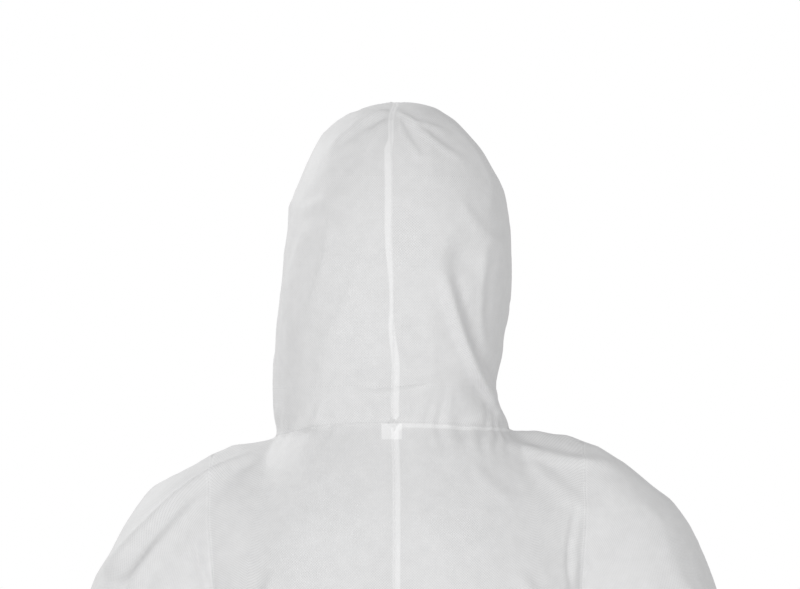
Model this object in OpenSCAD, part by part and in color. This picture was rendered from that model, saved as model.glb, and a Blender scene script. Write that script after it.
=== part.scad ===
// Hooded protective coverall in thin white nonwoven cloth, shown filled out as when worn.
// Millimetres. Origin: centre of the neck seam. +Z up, the zip side faces -Y, wearer's left is +X.

/* [Cloth] */
// Wall of every cloth panel
cloth = 1.5; // [1.2:0.1:2]
// Gap left at each joint between two moving bodies
joint_gap = 0.6; // [0.4:0.1:1]

/* [Hood] */
// Crown height above the neck seam
hood_top = 311; // [290:1:330]
// Half width of the hood over the ears
hood_half = 110; // [100:1:118]
// Height where the crown dome begins
dome_start = 140; // [120:1:150]
// Half width of the face opening
face_half = 75; // [60:1:85]

/* [Neck] */
// Half width of the neck seam
neck_half = 113; // [105:1:118]
// Distance from neck centre to nape
nape_y = 62; // [56:1:66]
// Rise of the neck seam at the nape
nape_rise = 10; // [6:1:12]

/* [Body] */
// Half width between the two armhole planes
armhole_x = 175; // [170:1:182]
// Top of the armhole
shoulder_z = -18; // [-24:1:-14]
// Bottom of the armhole
armpit_z = -236; // [-250:1:-220]
// Half depth of the armhole
armhole_y = 62; // [56:1:66]
// Level where the two legs begin
hip_z = -700; // [-715:1:-690]
// Level of the waist elastic
waist_z = -430; // [-450:1:-410]

/* [Sleeves] */
// Tube length from the sleeve head to the elbow
upper_len = 165; // [150:1:180]
// Tube length from the elbow to the cuff elastic
lower_len = 233; // [220:1:250]
// Inner radius of the relaxed cuff elastic
cuff_r = 36; // [30:0.5:42]

/* [Legs] */
// Level of the knee
knee_z = -955; // [-980:1:-930]
// Top of the ankle elastic
ankle_z = -1412; // [-1430:1:-1390]
// Inner radius of the relaxed ankle elastic
ankle_r = 50; // [45:0.5:58]

/* [Zip] */
// Half width of the slot between the two front panels
slot = 8.6; // [8:0.1:10]
// Upper end of the zip, at the chin
zip_top = 25; // [15:1:28]
// Lower end of the zip
zip_end = -640; // [-660:1:-620]

/* [Hidden] */
t = cloth;
front_y = -113;
lean = 0.0497;
sq = 2.3;
theta_s = 100;
neck_y = -25;
front_drop = -30;
neck_gap = 2 * joint_gap;
// lowest and highest edge of the face opening
face_low = 40;
face_high = 238;
face_mid = (face_low + face_high) / 2;
face_reach = (face_high - face_low) / 2;
// seam allowances, label and flat elastics: half widths, walls and how far inside the cloth they lie
seam_half = 2.6;
seam_wall = 0.8;
hood_seam_in = t + 0.6;
back_seam_in = t + 1.4;
neck_seam_in = t + 2;
label_half = 10;
label_in = t + 3;
elastic_wall = 1;
elastic_in = t + 2.6;
face_band = [1.2, 4.4];
band = 2.5;
d_arm = [sin(60), 0, cos(60)];
a_arm = [cos(60), 0, -sin(60)];
arm_c = [armhole_x + 0.6 + 24 + 68 * sin(60), 0, armpit_z - 8 + 34];
zip_tilt = atan(lean);

cloth_colour = [0.93, 0.94, 0.95];
seam_colour = [0.97, 0.97, 0.98];
elastic_colour = [0.9, 0.9, 0.9];
zip_colour = [0.95, 0.95, 0.95];

// ---- shared curves ----
function S(a) = pow(abs(sin(a)), 2 / sq);
function C(a) = pow(abs(cos(a)), 2 / sq);
function mix(a, b, w) = a * (1 - w) + b * w;
function ease(w) = let (c = max(0, min(1, w))) c * c * (3 - 2 * c);

// straight front line that the zip follows
function line_y(z) = front_y - lean * (zip_top - z);

// neck seam, a = 0 at the front, 180 at the nape, k = inset
function neck_z(a) = a > 90 ? nape_rise * pow(cos(a), 2) : front_drop * pow(cos(a), 2);
function neck(a, k) = [(neck_half - k) * S(a),
  a > 90 ? neck_y + (nape_y - neck_y - k) * C(a) : neck_y - (neck_y - line_y(front_drop) - k) * C(a),
  neck_z(a)];

// ---- closed shell between an outer and an inner grid of points ----
function flat(g) = [for (r = g) for (p = r) p];
function volume(pts, fs) = [for (f = fs) cross(pts[f[0]], pts[f[1]]) * pts[f[2]]];
function total(v, i = 0) = i + 64 >= len(v) ? sum_from(v, i, len(v))
  : sum_from(v, i, i + 64) + total(v, i + 64);
function sum_from(v, a, b) = a >= b ? 0 : v[a] + sum_from(v, a + 1, b);
function quad(a, b, c, d) = [[a, b, c], [a, c, d]];
function tidy(fs) = [for (f = fs) if (f[0] != f[1] && f[1] != f[2] && f[2] != f[0]) f];

module shell(outer, inner, wrap = false) {
  m = len(outer);
  n = len(outer[0]);
  k = m * n;
  cols = wrap ? n : n - 1;
  pole = norm(outer[m - 1][0] - outer[m - 1][1]) < 0.001;
  pts = concat(flat(outer), flat(inner));
  at = [for (i = [0:m - 1]) [for (j = [0:n - 1]) (pole && i == m - 1) ? i * n : i * n + j]];
  skin = [for (i = [0:m - 2]) for (j = [0:cols - 1]) let (u = (j + 1) % n)
    each concat(quad(at[i][j], at[i][u], at[i + 1][u], at[i + 1][j]),
      quad(k + at[i + 1][j], k + at[i + 1][u], k + at[i][u], k + at[i][j]))];
  ends = [for (j = [0:cols - 1]) let (u = (j + 1) % n)
    each concat(quad(at[0][u], at[0][j], k + at[0][j], k + at[0][u]),
      quad(at[m - 1][j], at[m - 1][u], k + at[m - 1][u], k + at[m - 1][j]))];
  sides = wrap ? [] : [for (i = [0:m - 2])
    each concat(quad(at[i][0], at[i + 1][0], k + at[i + 1][0], k + at[i][0]),
      quad(at[i + 1][n - 1], at[i][n - 1], k + at[i][n - 1], k + at[i + 1][n - 1]))];
  fs = tidy(concat(skin, ends, sides));
  v = total(volume(pts, fs));
  polyhedron(points = pts, faces = v < 0 ? fs : [for (f = fs) [f[2], f[1], f[0]]], convexity = 6);
}

// ---- hood ----
hood_rows = [0, 14, 28, face_low, 48, 62, 85, 115, 145, 175, 200, 220, 233, face_high, 250, 268, 284, 297, 306,
  hood_top];
function dome(z) = z <= dome_start ? 1
  : pow(max(0, 1 - pow((z - dome_start) / (hood_top - dome_start), 2.2)), 1 / 2.2);
function hood_a(z) = mix(neck_half, hood_half, ease(z / 60)) * dome(z);
function hood_yc(z) = mix(neck_y, 0, ease(z / 80));
function hood_back(z) = mix(nape_y, 105, sin(90 * min(1, z / 150))) * dome(z);
function hood_front(z) = mix(line_y(front_drop), line_y(30), min(1, z / face_low)) * dome(z);
function face_w(z) = z <= face_low ? slot : z >= face_high ? 0
  : max(z < face_mid ? slot : 0, face_half * sqrt(max(0, 1 - pow((z - face_mid) / face_reach, 2))));
function face_a(z) = asin(pow(min(1, face_w(z) / max(1, hood_a(z))), sq / 2));
function hood_pt(z, a, k) = let (w = dome(z), q = k * w)
  [(hood_a(z) - q) * S(a),
   a > 90 ? hood_yc(z) + (hood_back(z) - hood_yc(z) - q) * C(a)
     : hood_yc(z) - (hood_yc(z) - hood_front(z) - q) * C(a),
   z + neck_z(a) * max(0, 1 - z / 60) - k * (1 - w)];
function hood_grid(k) = [for (z = hood_rows) let (a0 = face_a(z))
  [for (j = [0:10]) hood_pt(z, mix(a0, 180, j / 10), k)]];
module hood_panel() color(cloth_colour) shell(hood_grid(0), hood_grid(t));
module hood_left_panel() hood_panel();
module hood_right_panel() mirror([1, 0, 0]) hood_panel();

// seam allowance inside the hood, from nape over the crown to the brow
seam_path = concat([for (i = [0:18]) [hood_rows[i], 180]], [for (i = [18:-1:14]) [hood_rows[i], 0]]);
function seam_row(p, k, x) = let (q = hood_pt(p[0], p[1], k)) [x, q[1], q[2]];
module hood_centre_seam() color(seam_colour)
  shell([for (p = seam_path) [for (x = [-seam_half, seam_half]) seam_row(p, hood_seam_in, x)]],
    [for (p = seam_path) [for (x = [-seam_half, seam_half]) seam_row(p, hood_seam_in + seam_wall, x)]]);

// elastic round the face opening
function face_loop(da, k) = concat(
  [for (i = [3:12]) hood_pt(hood_rows[i], face_a(hood_rows[i]) + da, k)],
  [let (p = hood_pt(face_high, da, k)) [0, p[1], p[2]]],
  [for (i = [12:-1:3]) let (p = hood_pt(hood_rows[i], face_a(hood_rows[i]) + da, k)) [-p[0], p[1], p[2]]]);
module hood_face_elastic() color(elastic_colour)
  shell([for (da = face_band) face_loop(da, elastic_in)],
    [for (da = face_band) face_loop(da, elastic_in + elastic_wall)], true);

// ---- body panels ----
function half_w(z) = lookup(z, [[-760, 198], [hip_z, 199], [-610, 201], [-560, 196], [-500, 180],
  [waist_z, 160], [-380, 163], [-330, 169], [armpit_z, armhole_x]]);
function back_y(z) = lookup(z, [[-760, 108], [hip_z, 114], [-640, 125], [-590, 125], [-540, 115], [-480, 92],
  [waist_z, 81], [-380, 88], [-330, 102], [-280, 113], [armpit_z, 118], [-180, 118], [-130, 112],
  [-94, 104], [-60, 92], [-30, 79], [0, 66], [nape_rise, nape_y]]);

// top edge: neck seam then shoulder seam
u1 = 0.64;
tip = [armhole_x, 0, shoulder_z];
function top_edge(u, a0, k) = u <= u1 ? neck(mix(a0, theta_s, u / u1), k) - [0, 0, neck_gap]
  : let (w = (u - u1) / (1 - u1)) mix(neck(theta_s, k) - [0, 0, neck_gap], tip - [0, 0, k], w)
    + [0, 0, 4 * sin(180 * w)];
// armhole edge, side = 1 back, -1 front
function arm_edge(v, side, k) = let (e = pow(v, 6))
  [armhole_x - k * e, side * (armhole_y - k) * sin(180 * v),
   (shoulder_z + armpit_z) / 2 + ((shoulder_z - armpit_z) / 2 - k * (1 - e)) * cos(180 * v)];
function mid_z(v, side) = mix((side > 0 ? nape_rise : front_drop) - neck_gap, armpit_z, v);
function mid_edge(v, side, k) = let (z = mid_z(v, side))
  side > 0 ? [0, back_y(z) - k, z] : [slot, line_y(z) + k, z];
function section(z, u, side, k) = let (a0 = side > 0 ? 0 : asin(pow(slot / half_w(z), sq / 2)),
  a = mix(a0, 90, u))
  [(half_w(z) - k) * S(a), side > 0 ? (back_y(z) - k) * C(a) : (line_y(z) + k) * C(a), z];
function bottom_edge(u, side, k) = section(armpit_z, u, side, k);
function coons(u, v, side, k) = let (a0 = side > 0 ? 180 : asin(pow(slot / neck_half, sq / 2)),
  t0 = top_edge(0, a0, k), t1 = top_edge(1, a0, k),
  b0 = bottom_edge(0, side, k), b1 = bottom_edge(1, side, k))
  mix(top_edge(u, a0, k), bottom_edge(u, side, k), v)
  + mix(mid_edge(v, side, k), arm_edge(v, side, k), u)
  - mix(mix(t0, t1, u), mix(b0, b1, u), v);
body_rows = [-262, -290, -330, -380, -430, -480, -530, -580, -640, hip_z + joint_gap];
body_u = [0, 0.09, 0.18, 0.3, 0.42, 0.54, 0.64, 0.74, 0.82, 0.91, 1];
function body_grid(side, k) = concat(
  [for (v = [0, 0.06, 0.14, 0.26, 0.4, 0.55, 0.7, 0.85, 1]) [for (u = body_u) coons(u, v, side, k)]],
  [for (z = body_rows) [for (u = body_u) section(z, u, side, k)]]);
module back_panel() color(cloth_colour) shell(body_grid(1, 0), body_grid(1, t));
module front_panel() color(cloth_colour) shell(body_grid(-1, 0), body_grid(-1, t));
module back_left_panel() back_panel();
module back_right_panel() mirror([1, 0, 0]) back_panel();
module front_left_panel() front_panel();
module front_right_panel() mirror([1, 0, 0]) front_panel();

// seam allowance inside the back, nape to seat
back_zs = [-1, -30, -60, -94, -130, -180, armpit_z, -280, -330, -380, -420];
module back_centre_seam() color(seam_colour)
  shell([for (z = back_zs) [for (x = [-seam_half, seam_half]) [x, back_y(z) - back_seam_in, z]]],
    [for (z = back_zs) [for (x = [-seam_half, seam_half]) [x, back_y(z) - back_seam_in - seam_wall, z]]]);

// seam allowance inside the neck seam
function neck_row(k, dz) = [for (j = [0:16]) neck(mix(14, 172, j / 16), k) + [0, 0, dz]];
module neck_seam() color(seam_colour)
  for (s = [0, 1]) mirror([s, 0, 0])
    shell([for (dz = [-2, -7]) neck_row(neck_seam_in, dz)],
      [for (dz = [-2, -7]) neck_row(neck_seam_in + seam_wall, dz)]);

// blank care label hanging inside the nape
label_zs = [-3, -12, -22];
module size_label() color(seam_colour)
  shell([for (z = label_zs) [for (x = [-label_half, label_half]) [x, back_y(z) - label_in, z]]],
    [for (z = label_zs) [for (x = [-label_half, label_half]) [x, back_y(z) - label_in - seam_wall, z]]]);

// gathered elastic inside the waist
waist_us = [for (j = [0:8]) j / 8];
function waist_ring(z, k) = concat(
  [for (u = waist_us) section(z, u, 1, k)],
  [for (i = [7:-1:0]) let (p = section(z, waist_us[i], -1, k)) p],
  [for (i = [0:7]) let (p = section(z, waist_us[i], -1, k)) [-p[0], p[1], p[2]]],
  [for (i = [8:-1:1]) let (p = section(z, waist_us[i], 1, k)) [-p[0], p[1], p[2]]]);
module waist_elastic() color(elastic_colour)
  shell([for (dz = [4, -4]) waist_ring(waist_z + dz, elastic_in)],
    [for (dz = [4, -4]) waist_ring(waist_z + dz, elastic_in + elastic_wall)], true);

// strip under the zip where the two fronts are sewn together, and the gusset between the legs
module on_front(z, x0, x1, y0, y1, len)
  translate([0, line_y(z), z]) rotate([-zip_tilt, 0, 0]) translate([x0, y0, -len])
    cube([x1 - x0, y1 - y0, len]);
module front_rise_seam() color(cloth_colour)
  on_front(zip_end - 0.5, -slot + 0.4, slot - 0.4, 0, t,
    (zip_end - 0.5 - hip_z - joint_gap) / cos(zip_tilt));
gusset_f = line_y(hip_z);
gusset_b = back_y(hip_z);
function sag(w, r) = hip_z - 0.1 - r - 13 * sin(180 * w);
module crotch_gusset() color(cloth_colour)
  translate([-6, 0, 0]) rotate([90, 0, 90]) linear_extrude(12)
    polygon(concat([for (i = [0:14]) let (w = i / 14)
        [mix(gusset_f, gusset_b, w), sag(w, 0) - t * sin(180 * w)]],
      [[gusset_b, hip_z + 0.5], [gusset_b - t, hip_z + 0.5]],
      [for (i = [13:-1:1]) let (w = i / 14) [mix(gusset_f + t, gusset_b - t, w), sag(w, 0)]],
      [[gusset_f + t, hip_z + 0.5], [gusset_f, hip_z + 0.5]]));

// ---- zip ----
zip_len = (zip_top - zip_end) / cos(zip_tilt);
module zip_tape_left() color(zip_colour) on_front(zip_top, 2.7, slot - 0.4, 0, t, zip_len);
module zip_tape_right() color(zip_colour) mirror([1, 0, 0]) zip_tape_left();
module zip_coil_left() color(zip_colour) on_front(zip_top - 4, 0.8, 2.6, -0.8, t, zip_len - 10);
module zip_coil_right() color(zip_colour) mirror([1, 0, 0]) zip_coil_left();
module zip_top_stops() color(zip_colour)
  for (s = [0, 1]) mirror([s, 0, 0]) on_front(zip_top - 0.4, 0.8, 2.6, -1, t, 3.4);
module zip_bottom_stop() color(zip_colour)
  on_front(zip_end + 5.8, -2.6, 2.6, -1, t, 5.6);
// slider: front plate, back plate, wedge post between the coils, two ears and the pin for the tab
slider_z = zip_top - 4.5;
pin_y = -4.4;
pin_d = 7;
module zip_slider() color(zip_colour)
  translate([0, line_y(slider_z), slider_z]) rotate([-zip_tilt, 0, 0]) {
    translate([-5, -2.4, -15]) cube([10, 1.2, 15]);
    translate([-5, t + 0.4, -15]) cube([10, 1.2, 15]);
    translate([-0.5, -2, -12]) cube([1, t + 3, 9]);
    for (x = [-3.6, 2.4]) translate([x, -5.4, -pin_d - 1.6]) cube([1.2, 3.4, 3.2]);
    translate([-3, pin_y, -pin_d]) rotate([0, 90, 0]) cylinder(r = 0.6, h = 6, $fn = 32);
  }
module pull_tab() color(zip_colour)
  translate([0, line_y(slider_z), slider_z]) rotate([-zip_tilt, 0, 0]) translate([0, pin_y, -pin_d])
    difference() {
      union() {
        translate([-1.8, 0, 0]) rotate([0, 90, 0]) cylinder(r = 1.6, h = 3.6, $fn = 32);
        translate([-1.8, -0.6, -6]) cube([3.6, 1.2, 5]);
        translate([-3.5, -0.6, -30]) cube([7, 1.2, 25]);
      }
      translate([-3, 0, 0]) rotate([0, 90, 0]) cylinder(r = 0.9, h = 6, $fn = 32);
    }

// ---- sleeves ----
function arm_ring(c, d, hd, hy, k) = [for (j = [0:19]) let (a = 18 * j)
  c + (hd - k) * cos(a) * d + [0, (hy - k) * sin(a), 0]];
function head_ring(al, k) = let (w = al / 60, h = (shoulder_z - armpit_z - 136) * pow(1 - w, 1.3) + 136,
  d = [sin(al), 0, cos(al)])
  arm_ring([armhole_x + joint_gap + 24 * w, 0, armpit_z - 8 * w] + d * h / 2, d, h / 2,
    mix(armhole_y, 70, w), k);
function arm_hd(s) = lookup(s, [[0, 68], [upper_len, 64], [upper_len + 75, 59], [upper_len + 155, 52],
  [upper_len + 200, 45], [upper_len + lower_len, cuff_r + band]]);
function arm_hy(s) = lookup(s, [[0, 70], [upper_len, 62], [upper_len + 75, 57], [upper_len + 155, 50],
  [upper_len + 200, 44], [upper_len + lower_len, cuff_r + band]]);
function tube_ring(s, k) = arm_ring(arm_c + a_arm * s, d_arm, arm_hd(s), arm_hy(s), k);
head_as = [0, 7, 15, 23, 31, 40, 50, 60];
upper_ss = [30, 75, 120, upper_len - joint_gap / 2];
lower_ss = [upper_len + joint_gap / 2, 205, 240, 280, 320, 350, 375, upper_len + lower_len];
function upper_grid(k) = concat([for (a = head_as) head_ring(a, k)], [for (s = upper_ss) tube_ring(s, k)]);
function lower_grid(k) = [for (s = lower_ss) tube_ring(s, k)];
module upper_sleeve() color(cloth_colour) shell(upper_grid(0), upper_grid(t), true);
module lower_sleeve() color(cloth_colour) shell(lower_grid(0), lower_grid(t), true);
module cuff_elastic() color(elastic_colour)
  translate(arm_c + a_arm * (upper_len + lower_len + 0.1)) rotate([0, 150, 0])
    difference() {
      cylinder(r = cuff_r + band, h = 20, $fn = 96);
      translate([0, 0, -1]) cylinder(r = cuff_r, h = 22, $fn = 96);
    }
module left_upper_sleeve() upper_sleeve();
module left_lower_sleeve() lower_sleeve();
module left_cuff_elastic() cuff_elastic();
module right_upper_sleeve() mirror([1, 0, 0]) upper_sleeve();
module right_lower_sleeve() mirror([1, 0, 0]) lower_sleeve();
module right_cuff_elastic() mirror([1, 0, 0]) cuff_elastic();

// ---- legs ----
inner_x = 7.2;
function leg_cx(z) = lookup(z, [[ankle_z, 140], [-1200, 130], [knee_z, 116], [-820, 106], [hip_z, 103]]);
function leg_ax(z) = lookup(z, [[ankle_z, ankle_r + band], [-1385, 61], [-1330, 68], [-1200, 76],
  [knee_z, 84], [-820, 92], [hip_z, 95]]);
function leg_ay(z) = lookup(z, [[ankle_z, ankle_r + band], [-1385, 62], [-1330, 70], [-1200, 80],
  [knee_z, 88], [-820, 104], [hip_z, 122]]);
function leg_cy(z) = lookup(z, [[ankle_z, 4], [-1200, 2], [knee_z, -4], [-820, -12], [hip_z, -16]]);
// one point of half a leg ring: i 0..7 runs from the side seam round the outside, 7..10 the inner side
function d_pt(i, side, k) = let (a0 = asin(pow(inner_x / half_w(hip_z), sq / 2)),
  y0 = (side > 0 ? back_y(hip_z) : -line_y(hip_z)) - k)
  i <= 7 ? let (a = mix(90, a0, i / 7)) [max(inner_x + k, (half_w(hip_z) - k) * S(a)), side * y0 * C(a)]
  : [inner_x + k, side * y0 * (1 - (i - 7) / 3)];
function e_pt(z, i, side, k) = let (a = i <= 7 ? 120 * i / 7 : 120 + 20 * (i - 7))
  [leg_cx(z) + (leg_ax(z) - k) * cos(a), leg_cy(z) + side * (leg_ay(z) - k) * sin(a)];
function leg_pt(z, i, side, k) = let (w = ease((hip_z - z) / 130), d = d_pt(i, side, k),
  e = e_pt(z, i, side, k))
  [max(inner_x + (i >= 7 ? k : 0), mix(d[0], e[0], w)), mix(d[1], e[1], w), z];
thigh_zs = [hip_z - joint_gap / 2, -722, -745, -770, -800, -830, -870, -910, knee_z + joint_gap / 2];
shin_zs = [knee_z - joint_gap / 2, -1000, -1060, -1130, -1200, -1270, -1330, -1365, -1385, -1400, ankle_z];
module leg_half(zs, side) color(cloth_colour)
  shell([for (z = zs) [for (i = [0:10]) leg_pt(z, i, side, 0)]],
    [for (z = zs) [for (i = [0:10]) leg_pt(z, i, side, t)]]);
module ankle_elastic() color(elastic_colour)
  translate([leg_cx(ankle_z), leg_cy(ankle_z), ankle_z - 20.1])
    difference() {
      cylinder(r = ankle_r + band, h = 20, $fn = 96);
      translate([0, 0, -1]) cylinder(r = ankle_r, h = 22, $fn = 96);
    }
module left_thigh_front() leg_half(thigh_zs, -1);
module left_thigh_back() leg_half(thigh_zs, 1);
module left_shin_front() leg_half(shin_zs, -1);
module left_shin_back() leg_half(shin_zs, 1);
module left_ankle_elastic() ankle_elastic();
module right_thigh_front() mirror([1, 0, 0]) leg_half(thigh_zs, -1);
module right_thigh_back() mirror([1, 0, 0]) leg_half(thigh_zs, 1);
module right_shin_front() mirror([1, 0, 0]) leg_half(shin_zs, -1);
module right_shin_back() mirror([1, 0, 0]) leg_half(shin_zs, 1);
module right_ankle_elastic() mirror([1, 0, 0]) ankle_elastic();

back_left_panel();
back_right_panel();
front_left_panel();
front_right_panel();
front_rise_seam();
crotch_gusset();
waist_elastic();
back_centre_seam();
neck_seam();
size_label();
zip_tape_left();
zip_tape_right();
zip_coil_left();
zip_coil_right();
zip_top_stops();
zip_bottom_stop();
zip_slider();
pull_tab();
hood_left_panel();
hood_right_panel();
hood_centre_seam();
hood_face_elastic();
left_upper_sleeve();
left_lower_sleeve();
left_cuff_elastic();
right_upper_sleeve();
right_lower_sleeve();
right_cuff_elastic();
left_thigh_front();
left_thigh_back();
left_shin_front();
left_shin_back();
left_ankle_elastic();
right_thigh_front();
right_thigh_back();
right_shin_front();
right_shin_back();
right_ankle_elastic();
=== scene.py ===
"""A hooded protective coverall in thin white nonwoven cloth, filled out as when it is worn.

Frame: metres, origin at the centre of the neck seam, +Z up, the zip faces -Y, the wearer's left is +X.
Shapes are worked out in millimetres and turned into metres when a mesh is made.
"""
import math

import bpy
import numpy as np
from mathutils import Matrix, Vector, kdtree, noise


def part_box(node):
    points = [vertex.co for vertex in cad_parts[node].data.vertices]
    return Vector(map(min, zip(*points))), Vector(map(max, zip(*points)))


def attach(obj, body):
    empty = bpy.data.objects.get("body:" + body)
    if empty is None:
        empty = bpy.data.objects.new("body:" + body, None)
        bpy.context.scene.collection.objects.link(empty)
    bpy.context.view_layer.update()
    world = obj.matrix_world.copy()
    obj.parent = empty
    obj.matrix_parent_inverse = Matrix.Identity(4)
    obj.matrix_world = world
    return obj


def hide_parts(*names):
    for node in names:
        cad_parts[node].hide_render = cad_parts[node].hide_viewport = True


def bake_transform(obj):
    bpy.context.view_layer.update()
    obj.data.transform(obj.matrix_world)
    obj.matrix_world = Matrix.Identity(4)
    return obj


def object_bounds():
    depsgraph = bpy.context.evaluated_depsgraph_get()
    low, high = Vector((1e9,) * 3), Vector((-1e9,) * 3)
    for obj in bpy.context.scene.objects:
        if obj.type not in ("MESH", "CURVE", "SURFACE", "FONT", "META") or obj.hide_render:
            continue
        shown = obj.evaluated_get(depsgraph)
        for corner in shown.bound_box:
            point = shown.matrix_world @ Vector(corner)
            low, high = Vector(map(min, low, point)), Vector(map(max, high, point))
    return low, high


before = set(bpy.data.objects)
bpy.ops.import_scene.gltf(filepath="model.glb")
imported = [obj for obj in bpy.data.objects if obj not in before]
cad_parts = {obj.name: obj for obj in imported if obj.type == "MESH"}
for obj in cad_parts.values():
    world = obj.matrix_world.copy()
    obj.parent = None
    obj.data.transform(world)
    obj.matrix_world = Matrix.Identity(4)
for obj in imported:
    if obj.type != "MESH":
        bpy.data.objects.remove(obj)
cad_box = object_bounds()

MM = 0.001

# ---------------------------------------------------------------- driving sizes (mm)
HOOD_TOP = 311.0
HOOD_HALF = 110.0
HOOD_BACK_Y = 105.0
DOME_START = 140.0
FACE_HALF = 75.0
FACE_LOW = 40.0
FACE_HIGH = 238.0
FACE_MID = (FACE_LOW + FACE_HIGH) / 2
FACE_REACH = (FACE_HIGH - FACE_LOW) / 2
NECK_HALF = 113.0
NECK_Y = -25.0
NAPE_Y = 62.0
NAPE_RISE = 10.0
FRONT_DROP = -30.0
ARMHOLE_X = 175.0
SHOULDER_Z = -18.0
ARMPIT_Z = -236.0
ARMHOLE_Y = 62.0
WAIST_Z = -430.0
HIP_Z = -700.0
SPLIT_Z = -902.0
ANKLE_Z = -1412.0
UPPER_LEN = 165.0
SLEEVE_SPLIT = 75.0
LOWER_LEN = 233.0
SLEEVE_HALF_HIGH = 68.0
SLEEVE_HALF_DEEP = 70.0
SLEEVE_OUT = 24.6
SLEEVE_DROP = 8.0
SLEEVE_TURN = 60.0
CUFF_R = 36.0
ANKLE_R = 50.0
BAND = 2.5
SLOT = 6.5
FRONT_Y = -113.0
LEAN = 0.0497
ZIP_TOP = 25.0
ZIP_END = -640.0
SQUARENESS = 2.3
SHOULDER_SEAM_ANGLE = 100.0

# cells of the cloth grids: over the neck edge, the shoulder, the armhole and the inner leg
NECK_CELLS = 46
SHOULDER_CELLS = 20
ARMHOLE_CELLS = 64
INNER_CELLS = 22


# ---------------------------------------------------------------- small maths
def mix(a, b, w):
    return a * (1 - w) + b * w


def ease(w):
    w = np.clip(w, 0, 1)
    return w * w * (3 - 2 * w)


def bump(d, width):
    return np.exp(-((d / width) ** 2))


def sin_deg(a):
    return np.abs(np.sin(np.radians(a))) ** (2 / SQUARENESS)


def cos_deg(a):
    return np.abs(np.cos(np.radians(a))) ** (2 / SQUARENESS)


def curve(table):
    """A smooth function through (x, y) pairs that never overshoots them."""
    x, y = np.array(sorted(table), float).T
    h = np.diff(x)
    slope = np.diff(y) / h
    m = np.zeros_like(y)
    same = slope[:-1] * slope[1:] > 0
    w1, w2 = 2 * h[1:] + h[:-1], h[1:] + 2 * h[:-1]
    m[1:-1][same] = (w1 + w2)[same] / (w1[same] / slope[:-1][same] + w2[same] / slope[1:][same])
    m[0], m[-1] = slope[0], slope[-1]

    def at(v):
        v = np.clip(np.asarray(v, float), x[0], x[-1])
        k = np.clip(np.searchsorted(x, v) - 1, 0, len(x) - 2)
        t = (v - x[k]) / h[k]
        return ((1 + 2 * t) * (1 - t) ** 2 * y[k] + t * (1 - t) ** 2 * h[k] * m[k]
                + t * t * (3 - 2 * t) * y[k + 1] + t * t * (t - 1) * h[k] * m[k + 1])

    return at


def soft_noise(p, scale, seed):
    q = np.asarray(p) / scale + seed
    return np.array([noise.noise(v) for v in q.tolist()])


# ---------------------------------------------------------------- outline of the suit (mm)
def line_y(z):
    """The straight front line that the zip follows."""
    return FRONT_Y - LEAN * (ZIP_TOP - z)


def settle(v, times):
    """Evens out a run of points or vectors."""
    for _ in range(times):
        v[1:-1] = v[1:-1] / 2 + (v[:-2] + v[2:]) / 4
    return v


def stack(x, y, z):
    return np.stack(np.broadcast_arrays(x, y, z), axis=-1).astype(float)


def neck_z(a):
    c = np.cos(np.radians(a)) ** 2
    return np.where(a > 90, NAPE_RISE * c, FRONT_DROP * c)


def neck(a):
    front = NECK_Y - (NECK_Y - line_y(FRONT_DROP)) * cos_deg(a)
    back = NECK_Y + (NAPE_Y - NECK_Y) * cos_deg(a)
    return stack(NECK_HALF * sin_deg(a), np.where(a > 90, back, front), neck_z(a))


def dome(z):
    t = np.clip((z - DOME_START) / (HOOD_TOP - DOME_START), 0, 1)
    return np.clip(1 - t ** 2.2, 0, 1) ** (1 / 2.2)


def hood_half(z):
    return mix(NECK_HALF, HOOD_HALF, ease(z / 60)) * dome(z)


def hood_point(z, a):
    """The hood at height z and angle a, 0 at the face and 180 at the back."""
    w = dome(z)
    half = hood_half(z)
    centre = mix(NECK_Y, 0, ease(z / 80))
    back = mix(NAPE_Y, HOOD_BACK_Y, np.sin(np.pi / 2 * np.clip(z / 150, 0, 1))) * w
    front = mix(line_y(FRONT_DROP), line_y(-FRONT_DROP), np.clip(z / FACE_LOW, 0, 1)) * w
    y = centre + np.where(a > 90, back - centre, front - centre) * cos_deg(a)
    return stack(half * sin_deg(a), y, z + neck_z(a) * np.clip(1 - z / 60, 0, 1))


def face_width(z):
    """Half width of the face opening, and the zip slot below it."""
    oval = FACE_HALF * np.sqrt(np.clip(1 - ((z - FACE_MID) / FACE_REACH) ** 2, 0, 1))
    return np.where(z >= FACE_HIGH, 0, np.where(z < FACE_MID, np.maximum(oval, SLOT), oval))


def face_angle(z):
    half = np.maximum(hood_half(z), 1)
    return np.degrees(np.arcsin(np.clip((face_width(z) / half) ** (SQUARENESS / 2), 0, 1)))


half_width = curve([(-760, 198), (HIP_Z, 199), (-610, 201), (-560, 196), (-500, 180), (WAIST_Z, 160),
                    (-380, 163), (-330, 169), (ARMPIT_Z, ARMHOLE_X)])
back_y = curve([(-760, 108), (HIP_Z, 114), (-640, 125), (-590, 125), (-540, 115), (-480, 92), (WAIST_Z, 81),
                (-380, 88), (-330, 102), (-280, 113), (ARMPIT_Z, 118), (-180, 118), (-130, 112), (-94, 104),
                (-60, 92), (-30, 79), (0, 66), (NAPE_RISE, NAPE_Y)])

# share of the way from the centre to the side for every column of a body panel
NECK_SHARE = 0.64
COLUMNS = np.concatenate([np.linspace(0, NECK_SHARE, NECK_CELLS + 1),
                          np.linspace(NECK_SHARE, 1, SHOULDER_CELLS + 1)[1:]])
NECK_COLUMNS = COLUMNS[:NECK_CELLS + 1]
INNER_X = float(half_width(HIP_Z) * sin_deg(90 * COLUMNS[1]))


def front_edge_x(z):
    """The front panels part beside the zip and meet below it."""
    return SLOT * ease((z - ZIP_END) / 6 + 1)


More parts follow.
